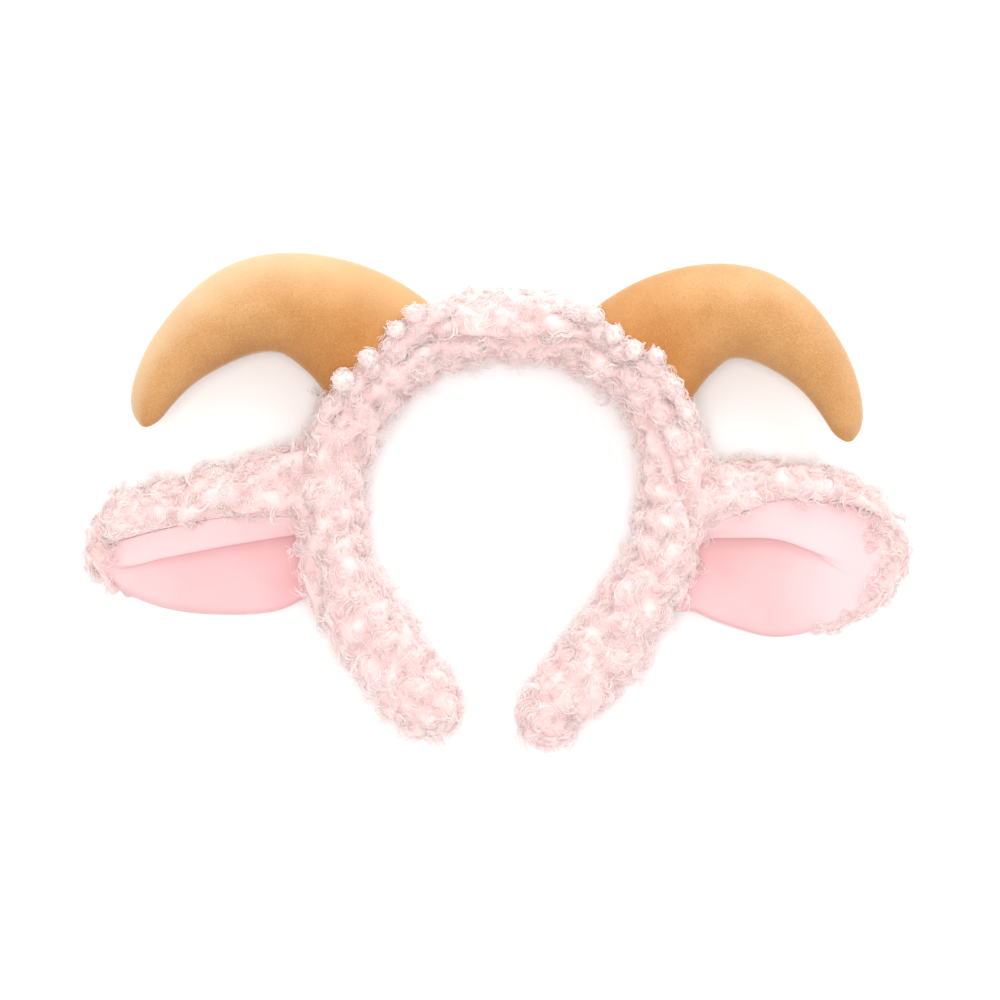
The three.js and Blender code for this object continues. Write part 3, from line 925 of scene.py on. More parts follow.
@dataclass(frozen=True)
class Band:
    """The padded band, sleeved in curly fleece. Its crown is the middle of its centreline, on the floor."""

    crown: Array
    half_width: float = 65.5 * MM
    height: float = 152 * MM
    crown_lean: float = 7.8 * MM
    thickness: float = 20 * MM
    depth: float = 34 * MM
    pressed: float = 1.2 * MM
    lock_share: float = 0.92
    curl_spacing: float = 3.1 * MM
    side_curls: float = 0.42
    parting_depth: float = 2.4 * MM
    parting_width: float = 1.9 * MM
    # How much painted shade the partings take.
    parting_shade: float = 0.2
    parting_thins: float = 0.8
    knob_stand: float = 3.5 * MM
    collar_stand: float = 2.5 * MM
    horn_seat: float = 50.5 * MM
    horn_cover: float = 17 * MM
    station_step: float = 1.2 * MM
    sides: int = 72
    end_steps: int = 9
    curl_pieces: int = 4
    wrap: tuple[float, float] = (-0.16 * math.pi, 1.16 * math.pi)
    seed: int = 11

    def line(self) -> tuple[Array, Array]:
        """The centreline from the left leg's end to the right one's.

        Returns:
            Its points and bulk, (n, 3), and the distance of each from the crown, negative on the left.
        """
        across, down, bulk = BAND_ROWS.T
        sides = [np.stack([side.value * across * self.half_width, down, bulk], -1) for side in Side]
        rows = np.concatenate([sides[0][::-1], sides[1][1:]])
        rows[:, 0] -= self.crown_lean * rows[:, 1]
        rows[:, 1] *= -self.height
        rows[:, :2] += self.crown[:2]
        points = smooth_through(rows, np.linspace(0, 1, 2001))
        distance = walked(points[:, :2])
        return points, distance - distance[len(distance) // 2]

    def length(self) -> float:
        """The centreline's whole length."""
        _, distance = self.line()
        return float(distance[-1] - distance[0])

    def sections(self, distance: Array) -> Sections:
        """The sections at distances from the crown along the centreline."""
        points, walk = self.line()
        heading = unit(np.gradient(points[:, :2], axis=0))
        x, y, bulk = (np.interp(distance, walk, column) for column in points.T)
        ahead = unit(np.stack([np.interp(distance, walk, column) for column in heading.T], -1))
        flat = np.zeros(len(x))
        level = np.full(len(x), self.depth / 2)
        return Sections(
            np.stack([x, y, level - self.pressed], -1),
            np.stack([-ahead[:, 1], ahead[:, 0], flat], -1),
            np.stack([ahead[:, 0], ahead[:, 1], flat], -1),
            0.5 * self.thickness * bulk,
            level,
            flat,
        )

    def seat(self, distance: float) -> Sections:
        """The section where a horn or an ear is sewn on, at a distance from the crown."""
        return self.sections(np.array([distance]))

    def parting(self, distance: Array, angles: Array) -> Array:
        """How much the fleece parts: a bell curve across each parting, which fades out at its ends.

        Args:
            distance: Distances from the crown, (n,).
            angles: Angles round the band, (m,).

        Returns:
            Shares from 0 to 1, (n, m).
        """
        parted = np.zeros((len(distance), len(angles)))
        for rows in PARTINGS:
            start, end = rows[0, 0] * MM, rows[-1, 0] * MM
            middle = np.radians(np.interp(distance, rows[:, 0] * MM, rows[:, 1]))
            aside = (angles[None] - middle[:, None]) * 0.5 * (self.thickness + self.depth) / 2
            begun = ease(distance, start - 8 * MM, start + 2 * MM)
            over = ease(distance, end - 2 * MM, end + 8 * MM)
            fade = begun * (1 - over)
            parted = np.maximum(parted, fade[:, None] * np.exp(-((aside / self.parting_width) ** 2)))
        return parted

    def covered(self, distance: Array, angles: Array) -> Array:
        """How much a horn covers the fleece: all of it on the band's outside, near the horn's seat.

        Args:
            distance: Distances from the crown, (n,).
            angles: Angles round the band, (m,).

        Returns:
            Shares from 0 to 1, (n, m).
        """
        aside = np.abs(np.abs(distance) - self.horn_seat)
        near = 1 - ease(aside, self.horn_cover, self.horn_cover + 5 * MM)
        outside = ease(np.cos(angles), 0.35, 0.6)
        return near[:, None] * outside[None]

    def fleece(self) -> tuple[Skin, Array, Array, Array]:
        """The cloth's skin with its locks.

        Returns:
            The skin, (stations, sides), and at each of its points the locks' rise, how much the fleece parts
            and how much a horn covers it.
        """
        points, walk = self.line()
        count = round((walk[-1] - walk[0]) / self.station_step)
        distance = np.linspace(walk[0], walk[-1], count)
        sections = self.sections(distance).closed(self.end_steps, at_start=True)
        rings = np.arange(len(sections.centre))
        along = np.interp(rings, np.arange(count) + self.end_steps, distance - walk[0])
        past = np.arcsin(sections.facing_end) * sections.half_across
        along = along + np.where(rings < self.end_steps, -past, past)
        angles = 2 * np.pi * (np.arange(self.sides) + 0.5) / self.sides
        skin = sections.skin(angles)
        turned = np.where(angles > 1.5 * np.pi, angles - 2 * np.pi, angles)
        share = (turned - self.wrap[0]) / (self.wrap[1] - self.wrap[0])
        girth = 0.5 * (self.wrap[1] - self.wrap[0]) * 0.5 * (self.thickness + self.depth)
        locks = Locks(self.length(), girth, seed=1)
        rise = locks.rise(along[:, None], (share * girth)[None])
        blend = sections.facing_end[:, None] ** 4
        rise = rise * (1 - blend) + 0.5 * locks.height * blend
        parted = self.parting(along + walk[0], angles)
        covered = self.covered(along + walk[0], angles)
        rise = rise * (1 - parted) * (1 - 0.7 * covered) - self.parting_depth * parted
        return skin, rise, parted, covered

    def build(self) -> list[bpy.types.Object]:
        """Makes the cloth and its curls.

        Returns:
            The cloth first, then the pieces of curls.
        """
        rng = np.random.default_rng(self.seed)
        skin, rise, parted, covered = self.fleece()
        raised = skin.raised(self.lock_share * rise)
        raised[..., 2] = np.maximum(raised[..., 2], 0.0)
        points, faces = capped_tube(raised)
        # Painted shade on the cloth: deeper where its locks are low, and deeper still in the partings.
        height = np.maximum(CLOTH_SHADE_HEIGHT * rise / Locks.height - self.parting_shade * parted, 0)
        marks = {"height": np.append(height.ravel(), [0, 0]), "tone": np.full(len(points), 0.5)}
        cloth = make_piece("band_fleece", points, faces, marks)

        surface = Skin(raised, facing_of(raised))
        front = ease(surface.facing[..., 2], -0.1, 0.5)
        weight = (self.side_curls + (1 - self.side_curls) * front) * ease(raised[..., 2], 0.5 * MM, 4 * MM)
        weight = weight * (1 - self.parting_thins * parted) * (1 - covered)
        pieces = [cloth]
        edges = np.linspace(0, len(raised), self.curl_pieces + 1).astype(int)
        for index, (first, last) in enumerate(zip(edges[:-1], edges[1:]), start=1):
            roots = spread_roots(surface.part(first, last), self.curl_spacing, weight[first:last], rng)
            pieces.append(curl_up(roots, rng).piece(f"band_curls_{index}"))
        pieces.extend(piece for side in Side for piece in self.build_collar(side, rng))
        return pieces + [self.build_loop(rng)]

    def build_loop(self, rng: np.random.Generator) -> bpy.types.Object:
        """Makes the one loose ringlet that stands out of the band's inner edge, under the right horn."""
        distance, out, level = LOOSE_LOOP
        seat = self.seat(distance)
        point = seat.centre - seat.across * (seat.half_across + out)
        point[:, 2] = level
        return wind_curls(Roots(point, UP[None]), CurlForm.LOOP, rng, steps=16).piece("band_loose_loop")

    def build_collar(self, side: Side, rng: np.random.Generator) -> list[bpy.types.Object]:
        """Makes the roll of fleece in the corner between the band and a horn's front, and its fat knobs.

        Args:
            side: The horn's side.
            rng: Where the random numbers come from.

        Returns:
            The roll and the knobs first, then their curls.
        """
        rows = smooth_through(COLLARS[side], np.linspace(0, 1, 60))
        seats = self.sections(rows[:, 0] * MM)
        size = rows[:, 2] * MM
        uneven = size * (1 + 0.16 * np.sin(walked(seats.centre) / (1.7 * MM)))
        centre = seats.centre + seats.across * (seats.half_across * rows[:, 1])[:, None]
        centre = centre + UP * (seats.half_lift + self.collar_stand - 0.5 * size)[:, None]
        roll = Sections(centre, seats.across, seats.heading, uneven, uneven, seats.facing_end)
        skins = [roll.closed(5, at_start=True).skin(2 * np.pi * np.arange(28) / 28)]

        distance, out, radius = KNOBS[side].T
        seats = self.sections(distance * MM)
        centre = seats.centre + seats.across * (seats.half_across * out)[:, None]
        centre = centre + UP * (seats.half_lift + self.knob_stand)[:, None]
        for number, half in enumerate(radius * MM):
            lone = [value[[number]] for value in (centre, seats.across, seats.heading)]
            ball = Sections(*lone, np.full(1, half), np.full(1, half), np.zeros(1))
            skins.append(ball.closed(5, at_start=True).skin(2 * np.pi * np.arange(16) / 16))

        pieces, curls = [], []
        for number, skin in enumerate(skins):
            points, faces = capped_tube(skin.points)
            tone = 0.8 if number else 0.5
            marks = {"height": np.full(len(points), CLOTH_SHADE_HEIGHT), "tone": np.full(len(points), tone)}
            pieces.append(make_piece(f"horn_root_fleece_{side.label}_{number}", points, faces, marks))
            front = ease(skin.facing[..., 2], -0.3, 0.3)
            form, spacing = (CurlForm.KNOB, 0.6) if number else (CurlForm.RING, 0.85)
            roots = spread_roots(skin, spacing * self.curl_spacing, front, rng)
            wound = wind_curls(roots, form, rng)
            curls.append(replace(wound, tone=0.5 + 0.5 * wound.tone) if number else wound)
        return pieces + [Strands.joined(curls).piece(f"horn_root_curls_{side.label}")]


def facing_of(points: Array) -> Array:
    """The way that a grid of rings faces: square to its rows and columns, and away from its middle line."""
    wrapped = np.concatenate([points[:, -1:], points, points[:, :1]], axis=1)
    across = 0.5 * (wrapped[:, 2:] - wrapped[:, :-2])
    along = np.gradient(points, axis=0)
    facing = unit(np.cross(along, across))
    outward = points - points.mean(axis=1, keepdims=True)
    inside_out = (facing * outward).sum() < 0
    return -facing if inside_out else facing


# The horns

# A horn from its seat to its tip: shares of its reach, arch, droop and forward lean, and its width and depth
# as shares of its girth
HORN_ROWS = np.array([
    (0, 0, 0, 0, 1.36, 0.92),
    (0.155, 0.57, 0, 0.05, 1.22, 0.92),
    (0.373, 1, 0, 0.15, 1.04, 0.9),
    (0.59, 0.93, 0.06, 0.3, 0.96, 0.86),
    (0.765, 0.55, 0.2, 0.5, 0.78, 0.74),
    (0.903, 0.25, 0.45, 0.75, 0.62, 0.6),
    (0.98, 0.06, 0.8, 0.92, 0.48, 0.47),
    (1, 0, 1, 1, 0.37, 0.37),
])


@dataclass(frozen=True)
class Horn:
    """A horn: two panels of velour, sewn along its edges and stuffed."""

    side: Side
    band: Band
    reach: float
    arch: float
    droop: float
    girth: float
    forward: float = 4.5 * MM
    pressed: float = 0.7 * MM
    slack: float = 0.9 * MM
    swell_limit: float = 1.5 * MM
    seam_depth: float = 0.35 * MM
    # How strong the horn's painted highlight along its upper edge is.
    crest_light: float = 1.0
    root_fades: tuple[float, float] = (0.12, 0.45)
    stations: int = 60
    sides: int = 48
    tip_steps: int = 8
    even_rings: int = 58
    held_rings: int = 6

    def sections(self) -> Sections:
        """The horn's sections from inside the band to its rounded tip."""
        seat = self.band.seat(self.side.value * self.band.horn_seat)
        foot = seat.centre[0] + seat.across[0] * seat.half_across[0]
        along, arch, droop, forward, width, depth = HORN_ROWS.T
        level = 0.5 * depth[0] * self.girth - self.pressed
        rows = np.stack([
            foot[0] + self.side.value * along * self.reach,
            foot[1] + arch * self.arch - droop * self.droop,
            level + forward * self.forward,
            0.5 * width * self.girth,
            0.5 * depth * self.girth,
        ], -1)
        root = rows[:1].copy()
        root[0, :2] = seat.centre[0, :2]
        line = smooth_through(np.concatenate([root, rows]), np.linspace(0, 1, self.stations))
        heading = np.gradient(line[:, :3], axis=0)
        heading[:, 2] = 0
        heading = unit(heading)
        across = np.stack([-heading[:, 1], heading[:, 0], np.zeros(len(line))], -1)
        sections = Sections(line[:, :3], across, heading, line[:, 3], line[:, 4], np.zeros(len(line)))
        return sections.closed(self.tip_steps, at_start=False)

    def build(self) -> bpy.types.Object:
        """Sews the panels a little small, fills them in a simulation, and draws the seams in."""
        angles = 2 * np.pi * np.arange(self.sides) / self.sides
        skin = self.sections().skin(angles)
        points, faces = capped_tube(evened_end(skin.raised(-self.slack), self.even_rings))
        seam = np.zeros(skin.points.shape[:2])
        seam[:, [0, self.sides // 2]] = 1.0
        # A painted highlight along the edge that faces the crown, where the light falls.
        crest = self.crest_light * ease(self.side.value * np.cos(angles), -0.1, 1.0)
        crest = np.broadcast_to(crest, seam.shape)
        root = np.repeat(1 - ease(np.arange(len(seam)) / len(seam), *self.root_fades), self.sides)
        marks = {"seam": seam.ravel(), "crest": crest.ravel(), "root": root}
        marks = {name: np.append(values, [0, 0]) for name, values in marks.items()}
        horn = make_piece(f"horn_{self.side.label}_velour", points, faces, marks)
        sewn = np.flatnonzero(marks["seam"])
        rooted = np.arange(self.held_rings * self.sides)
        fill_with_wadding(horn, np.union1d(sewn, rooted), self.swell_limit)
        draw_in(horn, sewn, self.seam_depth)
        press_flat(horn)
        add_subdivision(horn, 1)
        return horn


def evened_end(points: Array, rings: int, passes: int = 22) -> Array:
    """Evens out the last rings of a grid, (n, sides, 3): each moves up to halfway to its neighbours' mean."""
    evened = points.copy()
    share = ease(np.arange(len(points)), len(points) - rings, len(points) - 0.8 * rings)[1:-1, None, None]
    for _ in range(passes):
        evened[1:-1] += share * 0.25 * (evened[:-2] + evened[2:] - 2 * evened[1:-1])
    return evened


def read_points(piece: bpy.types.Object) -> Array:
    """The points of a piece's mesh, (n, 3)."""
    values = np.empty(3 * len(piece.data.vertices), np.float32)
    piece.data.vertices.foreach_get("co", values)
    return values.reshape(-1, 3).astype(float)


def write_points(piece: bpy.types.Object, points: Array) -> None:
    """Moves the points of a piece's mesh, (n, 3)."""
    piece.data.vertices.foreach_set("co", points.astype(np.float32).ravel())
    piece.data.update()


def fill_with_wadding(piece: bpy.types.Object, held: Array, limit: float, frames: int = 20) -> None:
    """Fills a sewn piece in a cloth simulation, with pressure from inside and no weight.

    Args:
        piece: The piece, which keeps the filled shape.
        held: The numbers of the points that the seams hold.
        limit: How far a point may move.
        frames: The steps of the simulation.
    """
    before = read_points(piece)
    group = piece.vertex_groups.new(name="sewn")
    group.add([int(number) for number in held], 1.0, "REPLACE")
    cloth = piece.modifiers.new("filling", "CLOTH")
    cloth.settings.quality = 6
    cloth.settings.mass = 0.2
    cloth.settings.tension_stiffness = 12
    cloth.settings.compression_stiffness = 12
    cloth.settings.bending_stiffness = 0.4
    cloth.settings.use_pressure = True
    cloth.settings.uniform_pressure_force = 4
    cloth.settings.vertex_group_mass = "sewn"
    cloth.settings.effector_weights.gravity = 0
    cloth.collision_settings.use_collision = False
    cloth.point_cache.frame_end = frames
    scene = bpy.context.scene
    for frame in range(1, frames + 1):
        scene.frame_set(frame)
    graph = bpy.context.evaluated_depsgraph_get()
    filled = np.empty(before.size, np.float32)
    piece.evaluated_get(graph).data.vertices.foreach_get("co", filled)
    step = filled.reshape(-1, 3) - before
    length = np.linalg.norm(step, axis=1, keepdims=True)
    log.info("%s: filled, points moved by up to %.2f mm", piece.name, 1000 * length.max())
    piece.modifiers.remove(cloth)
    piece.vertex_groups.clear()
    scene.frame_set(1)
    write_points(piece, before + step * np.minimum(1.0, limit / np.maximum(length, 1e-9)))


def draw_in(piece: bpy.types.Object, sewn: Array, depth: float) -> None:
    """Draws the points of a seam in along their normals by a depth."""
    normals = np.empty(3 * len(piece.data.vertices), np.float32)
    piece.data.vertex_normals.foreach_get("vector", normals)
    points = read_points(piece)
    points[sewn] -= depth * normals.reshape(-1, 3)[sewn]
    write_points(piece, points)


def press_flat(piece: bpy.types.Object) -> None:
    """Presses flat on the floor what would sink into it."""
    points = read_points(piece)
    points[:, 2] = np.maximum(points[:, 2], 0.0)
    write_points(piece, points)


def add_subdivision(piece: bpy.types.Object, levels: int) -> None:
    """Smooths a piece's faces."""
    modifier = piece.modifiers.new("smooth", "SUBSURF")
    modifier.levels = levels
    modifier.render_levels = levels


# The ears

# An ear from its root to its tip. Along is a share of its length. Top, seam, ridge and bottom are shares of
# its height from the middle of its root, and fold, cup, roll and pile are shares of how deep each is.
EAR_COLUMNS = ("along", "top", "seam", "ridge", "bottom", "fold", "cup", "roll", "pile")
EAR_ROWS = {
    Side.LEFT: np.array([
        (0, 0.42, -0.01, -0.1, -0.45, 1, 1, 1, 1),
        (0.15, 0.34, -0.01, -0.13, -0.53, 1, 0.6, 1, 1),
        (0.38, 0.23, -0.02, -0.18, -0.55, 0.9, 0.2, 1, 1),
        (0.62, 0.16, -0.08, -0.24, -0.52, 0.7, 0, 0.8, 1),
        (0.83, 0.09, -0.15, -0.29, -0.42, 0.35, 0, 0.55, 0.9),
        (0.95, -0.03, -0.2, -0.23, -0.27, 0.05, 0, 0.3, 0.75),
        (1, -0.14, -0.165, -0.175, -0.185, 0.02, 0, 0.1, 0.4),
    ]),
    Side.RIGHT: np.array([
        (0, 0.4, -0.01, -0.05, -0.45, 1, 1, 1, 1),
        (0.15, 0.34, 0.06, -0.05, -0.53, 1, 0.6, 1, 1),
        (0.38, 0.33, 0.16, -0.06, -0.6, 0.8, 0.2, 0.8, 1),
        (0.62, 0.28, 0.15, -0.15, -0.54, 0.45, 0, 0.6, 1),
        (0.83, 0.19, 0.08, -0.17, -0.4, 0.15, 0, 0.45, 0.9),
        (0.95, 0.05, -0.06, -0.13, -0.24, 0.06, 0, 0.3, 0.75),
        (1, -0.08, -0.11, -0.125, -0.15, 0.02, 0, 0.1, 0.4),
    ]),
}


@dataclass(frozen=True)
class Ear:
    """An ear: fleece rolled over its top edge to the front, and a lining folded lengthwise."""

    side: Side
    band: Band
    length: float
    seat_from_crown: float
    height: float = 68 * MM
    back_pile: float = 7 * MM
    roll_depth: float = 10.5 * MM
    cup_depth: float = 6 * MM
    rim: float = 1.6 * MM
    turn_in: float = 0.4 * MM
    lining_thickness: float = 1.2 * MM
    fold_rise: float = 6 * MM
    fold_tuck: float = 4.5 * MM
    pressed: float = 0.8 * MM
    clearance: float = 0.3 * MM
    fold_upright: float = 0.6
    fold_lean: float = 0.4
    wrap_drop: float = 0.4
    wrap_ends: tuple[float, float] = (0.84, 0.92)
    fold_fades: tuple[float, float] = (0.8, 0.95)
    lined_to: float = 0.9
    # A share of the lining's painted shade.
    shade_share: float = 1.0
    tucked: float = 0.012
    fringe: float = 3.2 * MM
    lock_share: float = 0.92
    curl_spacing: float = 3.1 * MM
    stations: int = 90
    line_steps: int = 8
    crowding: float = 1.3
    gathers: float = 6.5
    gather_depth: float = 0.35 * MM
    seed: int = 21

    def widths(self, along: Array) -> dict[str, Array]:
        """The values of the ear's table, read smoothly at shares of its length, with heights in metres."""
        rows = EAR_ROWS[self.side]
        places = np.linspace(0, 1, 2001)
        dense = smooth_through(rows, places)
        values = smooth_through(rows, np.interp(along, dense[:, 0], places))
        named = dict(zip(EAR_COLUMNS, values.T))
        for name in ("top", "seam", "ridge", "bottom"):
            named[name] = named[name] * self.height
        for name in ("fold", "cup"):
            named[name] = np.maximum(named[name], 0.0)
        fade_start, fade_end = self.fold_fades
        named["fold"] = named["fold"] * (1 - ease(along, fade_start, fade_end))
        return named

    def wrapped(self, along: Array) -> Array:
        """How far the lining is wrapped round the bottom edge; where it isn't, the fleece shows past it."""
        return 1 - ease(along, *self.wrap_ends)

    def wall_line(self, along: Array) -> tuple[Array, Array]:
        """The middle of the lining's wall across the ear, from the bottom edge over the fold to the seam.

        Args:
            along: Shares of the ear's length.

        Returns:
            Heights and depths of the knots that a smooth line joins, (stations, knots, 2), and the seam's
            depth.
        """
        w = self.widths(along)
        ridge, bottom, seam, fold = w["ridge"], w["bottom"], w["seam"], w["fold"]
        floor = self.back_pile * w["pile"] + self.clearance + 0.5 * self.lining_thickness
        rise, cup = self.fold_rise * fold, self.cup_depth * w["cup"]
        lean = self.fold_lean * (ridge - bottom) * np.maximum(0, 1 - fold / self.fold_upright)
        tuck = self.fold_tuck * np.maximum(0, fold - self.fold_upright) / (1 - self.fold_upright)
        seam_depth = floor + rise + 0.5 * self.roll_depth * w["roll"] * fold
        wrapped = self.wrapped(along)
        edge = bottom - self.turn_in - wrapped * (self.rim - self.turn_in)
        return paired(
            (edge, floor * (1 - self.wrap_drop * wrapped) + cup),
            (bottom + self.turn_in, floor + cup),
            (bottom + 0.5 * (ridge - bottom), floor + 0.25 * cup),
            (ridge + 0.5 * tuck - lean, floor),
            (ridge + tuck - 0.75 * lean, floor + 0.25 * rise),
            (ridge + 0.5 * tuck - 0.4 * lean, floor + 0.5 * rise),
            (ridge, floor + 0.8 * rise),
            (ridge + 0.3 * (seam - ridge), floor + rise + 0.25 * (seam_depth - floor - rise)),
            (seam, seam_depth),
        ), seam_depth

    def face_line(self, along: Array, distance: Array | float) -> Array:
        """The line across the ear at a distance in front of the middle of the lining's wall.

        Args:
            along: Shares of the ear's length.
            distance: The distance, one for all stations or (stations, 1, 1).

        Returns:
            Heights and depths on the line, (stations, points, 2).
        """
        knots, _ = self.wall_line(along)
        moved = knots + distance * normals_of_line(knots)
        return smooth_through(moved, np.linspace(0, 1, 8 * self.line_steps + 1))

    def outside_line(self, along: Array) -> Array:
        """The fleece across the ear, from the seam over the rolled top and the back to the bottom edge.

        Args:
            along: Shares of the ear's length.

        Returns:
            Heights and depths on the line, (stations, points, 2).
        """
        w = self.widths(along)
        front = self.face_line(along, 0.5 * self.lining_thickness)
        _, seam_depth = self.wall_line(along)
        back = -self.pressed
        top, seam, bottom = w["top"], w["seam"], w["bottom"]
        roll, curl, cup = top - seam, self.roll_depth * w["roll"], self.cup_depth * w["cup"]
        floor = self.back_pile * w["pile"] + self.clearance + 0.5 * self.lining_thickness
        wrapped = self.wrapped(along)
        seam_edge = front[:, -1] + self.clearance * unit(front[:, -1] - front[:, -2])
        bottom_edge = front[:, 0] - self.clearance * unit(front[:, 1] - front[:, 0])
        knots = paired(
            (seam + 0.18 * roll, seam_depth + 0.34 * curl),
            (seam + 0.45 * roll, seam_depth + 0.42 * curl),
            (seam + 0.8 * roll, seam_depth + 0.18 * curl),
            (top, 0.5 * seam_depth + 0.12 * curl),
            (top - 0.24 * roll, back + 0.9 * cup),
            (0.5 * (top + bottom), np.full(len(along), back)),
            (bottom + 0.1 * (top - bottom), back + 0.75 * cup),
            (bottom - self.rim - self.fringe + wrapped * (0.4 * self.rim + self.fringe),
             (0.55 - 0.25 * wrapped) * floor + 0.9 * cup),
        )
        knots = np.concatenate([seam_edge[:, None], knots, bottom_edge[:, None]], axis=1)
        return smooth_through(knots, np.linspace(0, 1, 9 * self.line_steps + 1))

    def placed(self, along: Array, lines: Array) -> Array:
        """Puts lines of heights and depths at their places along the ear, (stations, points, 3)."""
        seat = self.band.seat(self.side.value * self.seat_from_crown)
        foot = seat.centre[0] + seat.across[0] * seat.half_across[0]
        x = foot[0] + self.side.value * along[:, None] * self.length
        x = np.broadcast_to(x, lines.shape[:2])
        return np.stack([x, foot[1] + lines[..., 0], lines[..., 1]], -1)

    def places(self, last: float) -> Array:
        """Shares of the ear's length, from inside the band to a last one, closer together towards it."""
        root = -0.5 * self.band.thickness / self.length
        left = np.linspace(1, 0, self.stations)
        return root + (last - root) * (1 - left**self.crowding)

    def build_lining(self) -> bpy.types.Object:
        """Makes the lining: its front face, and its back face a cloth's thickness behind."""
        along = self.places(self.lined_to + self.tucked)
        reach = np.maximum(along, 0)
        half = 0.5 * self.lining_thickness
        front, back = self.face_line(reach, half), self.face_line(reach, -half)
        share = np.linspace(0, 1, front.shape[1])[None]
        waves = np.sin(2 * np.pi * (self.gathers * share + 0.2))
        gathers = self.gather_depth * waves * np.exp(-reach / 0.16)[:, None]
        front = front + normals_of_line(front) * (gathers * np.sin(np.pi * share))[..., None]
        points = self.placed(along, np.concatenate([front, back[:, ::-1]], 1))
        flat, faces = flat_ended_tube(points)
        # Painted shade on the lining's front and back faces.
        depth = self.shade(np.maximum(along, 0)[:, None], share)
        marks = {"shade": np.concatenate([depth, depth[:, ::-1]], 1).ravel()}
        return make_piece(f"ear_lining_{self.side.label}_satin", flat, faces, marks)

    def shade(self, along: Array, share: Array) -> Array:
        """Painted shade, deepest in the valley under the fold near the root, where the pink also deepens."""
        valley = 1 - ease(share, 0.62, 0.74)
        depth = valley * (0.35 + 0.65 * (1 - ease(along, 0.1, 0.75))) + 0.1 * (1 - valley)
        return self.shade_share * (depth + (0.3 - depth) * ease(along, *self.fold_fades))

    def build_fleece(self) -> list[bpy.types.Object]:
        """Makes the fleece and its curls.

        Returns:
            The cloth first, then its curls.
        """
        along = self.places(1.0)
        reach = np.maximum(along, 0)
        outside = self.outside_line(reach)
        walk = walked(outside)
        locks = Locks(self.length, self.height, seed=self.side.value + 6)
        rise = locks.rise(along[:, None] * self.length, walk) * np.minimum(1, walk / locks.height)
        half = 0.5 * self.lining_thickness
        lined = 1 - ease(along, self.lined_to, self.lined_to + 0.004)[:, None, None]
        inner = self.face_line(reach, half + 0.25 * MM * (1 - lined) - (2 * half + self.clearance) * lined)
        outer = outside + normals_of_line(outside) * (self.lock_share * rise)[..., None]
        points = self.placed(along, np.concatenate([inner, outer], 1))
        points[..., 2] = np.maximum(points[..., 2], 0.0)
        flat, faces = flat_ended_tube(points)
        height = CLOTH_SHADE_HEIGHT * np.concatenate([np.zeros(inner.shape[:2]), rise], 1) / locks.height
        marks = {"height": height.ravel(), "tone": np.full(len(flat), 0.5)}
        cloth = make_piece(f"ear_{self.side.label}_fleece", flat, faces, marks)

        rng = np.random.default_rng(self.seed + self.side.value)
        covered = self.placed(along, np.concatenate([self.face_line(reach, half + 0.3 * MM), outer], 1))
        surface = Skin(covered, facing_of(covered))
        share = np.linspace(0, 1, inner.shape[1])[None]
        lined_end = self.lined_to - 0.02 - 0.09 * (2 * share - 1) ** 2
        bare = ease(along[:, None], lined_end, lined_end + 0.03)
        edge = (1 - self.wrapped(along)[:, None]) * (1 - ease(share, 0.08, 0.17))
        seam = 0.5 * ease(share, 0.95, 0.98) * ease(along, 0.0, 0.05)[:, None]
        over = np.maximum(np.maximum(bare, edge), seam)
        weight = np.concatenate([over, self.curl_weight(along, outer.shape[1])], 1)
        weight = weight * ease(surface.points[..., 2], 0.5 * MM, 3 * MM)
        curls = curl_up(spread_roots(surface, self.curl_spacing, weight, rng), rng)
        return [cloth, curls.piece(f"ear_{self.side.label}_curls")]

    def curl_weight(self, along: Array, count: int) -> Array:
        """How densely curls stand on the outside line: fully in front, and thinly behind.

        Args:
            along: The stations' shares of the ear's length.
            count: The points of the line.

        Returns:
            The weights, (stations, count).
        """
        share = np.linspace(0, 1, count)[None]
        front = 1 - 0.75 * ease(share, 0.5, 0.62)
        rim = 1 - self.wrapped(along)[:, None]
        edge = ease(share, 0.74, 0.8)
        outside_band = ease(along, 0.0, 0.05)[:, None]
        return outside_band * (front * (1 - edge) + rim * edge)


def paired(*columns: tuple[Array, Array]) -> Array:
    """Knots of lines, (stations, knots, 2), from each knot's heights and depths."""
    return np.stack([np.stack(column, -1) for column in columns], 1)


def normals_of_line(line: Array) -> Array:
    """The direction to the left of flat lines, (..., m, 2), as seen while walking along them."""
    ahead = unit(np.gradient(line, axis=-2))
    return np.stack([-ahead[..., 1], ahead[..., 0]], -1)


# The floor, the lights and the camera


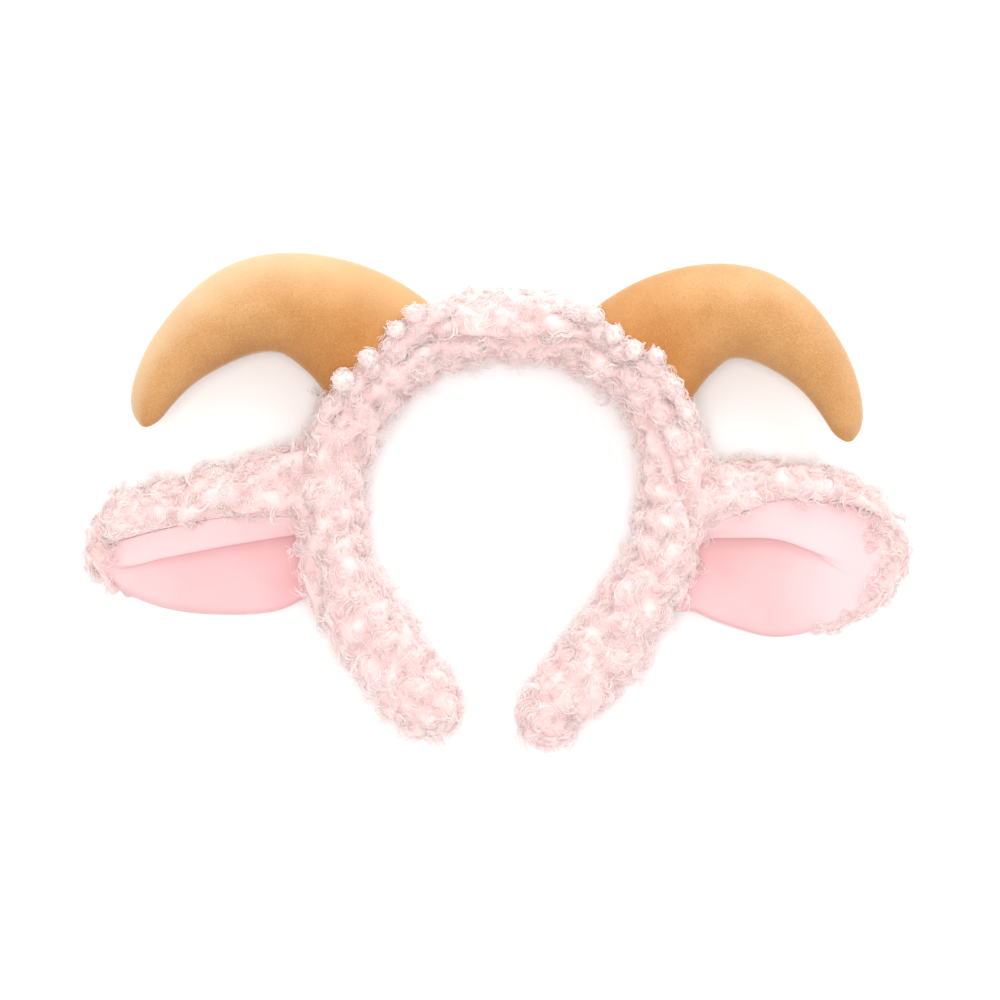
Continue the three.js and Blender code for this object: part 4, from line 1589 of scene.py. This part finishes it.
@dataclass(frozen=True)
class Studio:
    """A pale floor, soft light from behind the crown and from above, and a camera straight overhead."""

    look_at: tuple[float, float] = (1.07 * MM, -0.55 * MM)
    frame_width: float = 390 * MM
    frame_level: float = 18 * MM
    lens: float = 100.0
    sensor: float = 36.0
    floor_size: float = 6.0
    floor_colour: Colour = (0.92, 0.92, 0.92)
    key_place: tuple[float, float, float] = (0.3, 0.95, 0.6)
    key_power: float = 8.0
    key_size: float = 0.9
    fill_place: tuple[float, float, float] = (-0.05, -0.1, 1.7)
    fill_power: float = 13.0
    fill_size: float = 0.7
    world_strength: float = 0.9

    def build(self) -> None:
        """Makes the floor, the lights, the world and the camera."""
        self.build_floor()
        self.build_light("key_light", self.key_place, self.key_power, self.key_size)
        self.build_light("fill_light", self.fill_place, self.fill_power, self.fill_size)
        self.build_world()
        self.build_camera()

    def build_floor(self) -> None:
        """A flat floor under the headband."""
        half = self.floor_size / 2
        points = np.array([(-half, -half, 0), (half, -half, 0), (half, half, 0), (-half, half, 0)], float)
        mesh = bpy.data.meshes.new("floor")
        mesh.from_pydata(points.tolist(), [], [(0, 1, 2, 3)])
        floor = bpy.data.objects.new("floor", mesh)
        bpy.context.scene.collection.objects.link(floor)
        paper = Shading("floor_paper").finish(self.floor_colour, roughness=0.9, specular_ior_level=0.1)
        floor.data.materials.append(paper)

    def build_light(self, name: str, place: tuple[float, float, float], power: float, size: float) -> None:
        """A square soft light that points at the headband.

        Args:
            name: The light's name.
            place: Where it hangs.
            power: Its power in watts.
            size: The length of its sides.
        """
        lamp = bpy.data.lights.new(name, "AREA")
        lamp.energy = power
        lamp.size = size
        light = bpy.data.objects.new(name, lamp)
        light.location = place
        light.rotation_euler = (-light.location).to_track_quat("-Z", "Y").to_euler()
        bpy.context.scene.collection.objects.link(light)

    def build_world(self) -> None:
        """An even white light from all round."""
        world = bpy.data.worlds.new("studio")
        world.use_nodes = True
        background = world.node_tree.nodes["Background"]
        background.inputs["Color"].default_value = (1, 1, 1, 1)
        background.inputs["Strength"].default_value = self.world_strength
        bpy.context.scene.world = world

    def build_camera(self) -> None:
        """A long lens straight over the headband, as far off as the frame's width asks."""
        camera_data = bpy.data.cameras.new("camera")
        camera_data.lens = self.lens
        camera_data.sensor_width = self.sensor
        camera_data.clip_start = 0.05
        camera = bpy.data.objects.new("camera", camera_data)
        distance = self.frame_width * self.lens / self.sensor
        camera.location = (*self.look_at, self.frame_level + distance)
        bpy.context.scene.collection.objects.link(camera)
        bpy.context.scene.camera = camera


@dataclass
class Headband:
    """The whole headband: its band, horns and ears, and their finishes."""

    crown: Array
    fleece: FleeceFinish = field(default_factory=FleeceFinish)
    velour: VelourFinish = field(default_factory=VelourFinish)
    satin: SatinFinish = field(default_factory=SatinFinish)

    def build(self) -> None:
        """Builds the pieces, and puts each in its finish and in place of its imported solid."""
        band = Band(self.crown)
        fleece, velour, satin = (finish.material() for finish in (self.fleece, self.velour, self.satin))
        cloth, *curls = band.build()
        self.dress(cloth, fleece, "curly_fleece", "band")
        for piece in curls:
            self.dress(piece, fleece, "curly_fleece")
        # The right horn's painted highlight is weaker.
        horns = {
            Side.LEFT: Horn(
                Side.LEFT, band, reach=88.2 * MM, arch=18.3 * MM, droop=24.6 * MM, girth=41 * MM),
            Side.RIGHT: Horn(
                Side.RIGHT, band, reach=77.6 * MM, arch=16.4 * MM, droop=29.2 * MM, girth=39.4 * MM,
                crest_light=0.35),
        }
        # The right ear's lining takes less painted shade.
        ears = {
            Side.LEFT: Ear(Side.LEFT, band, length=87.5 * MM, seat_from_crown=114.6 * MM),
            Side.RIGHT: Ear(
                Side.RIGHT, band, length=85 * MM, seat_from_crown=115.4 * MM, wrap_ends=(0.5, 0.66),
                fold_fades=(0.55, 0.8), lined_to=0.85, shade_share=0.66),
        }
        for side in Side:
            horn = horns[side].build()
            self.dress(horn, velour, "horn_velour", f"horn_{side.label}")
            lining = ears[side].build_lining()
            self.dress(lining, satin, "ear_satin", f"ear_lining_{side.label}")
            back, curls = ears[side].build_fleece()
            self.dress(back, fleece, "curly_fleece", f"ear_back_{side.label}")
            self.dress(curls, fleece, "curly_fleece")

    def dress(self, piece: bpy.types.Object, finish: bpy.types.Material, slot: str, *nodes: str) -> None:
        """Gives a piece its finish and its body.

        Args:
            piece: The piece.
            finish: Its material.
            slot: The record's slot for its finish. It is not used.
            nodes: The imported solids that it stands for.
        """
        piece.data.materials.append(finish)
        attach(piece, "root")
        if nodes:
            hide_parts(*nodes)
        log.info("%s: %d faces", piece.name, len(piece.data.polygons))


def main() -> None:
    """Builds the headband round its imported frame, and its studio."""
    logging.basicConfig(level=logging.INFO, format="%(name)s: %(message)s")
    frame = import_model()
    crown = np.array(frame["record"]["mounts"][0]["pos_m"])
    Headband(crown).build()
    Studio().build()
    bpy.context.scene.view_settings.view_transform = "Standard"


if __name__ == "__main__":
    main()
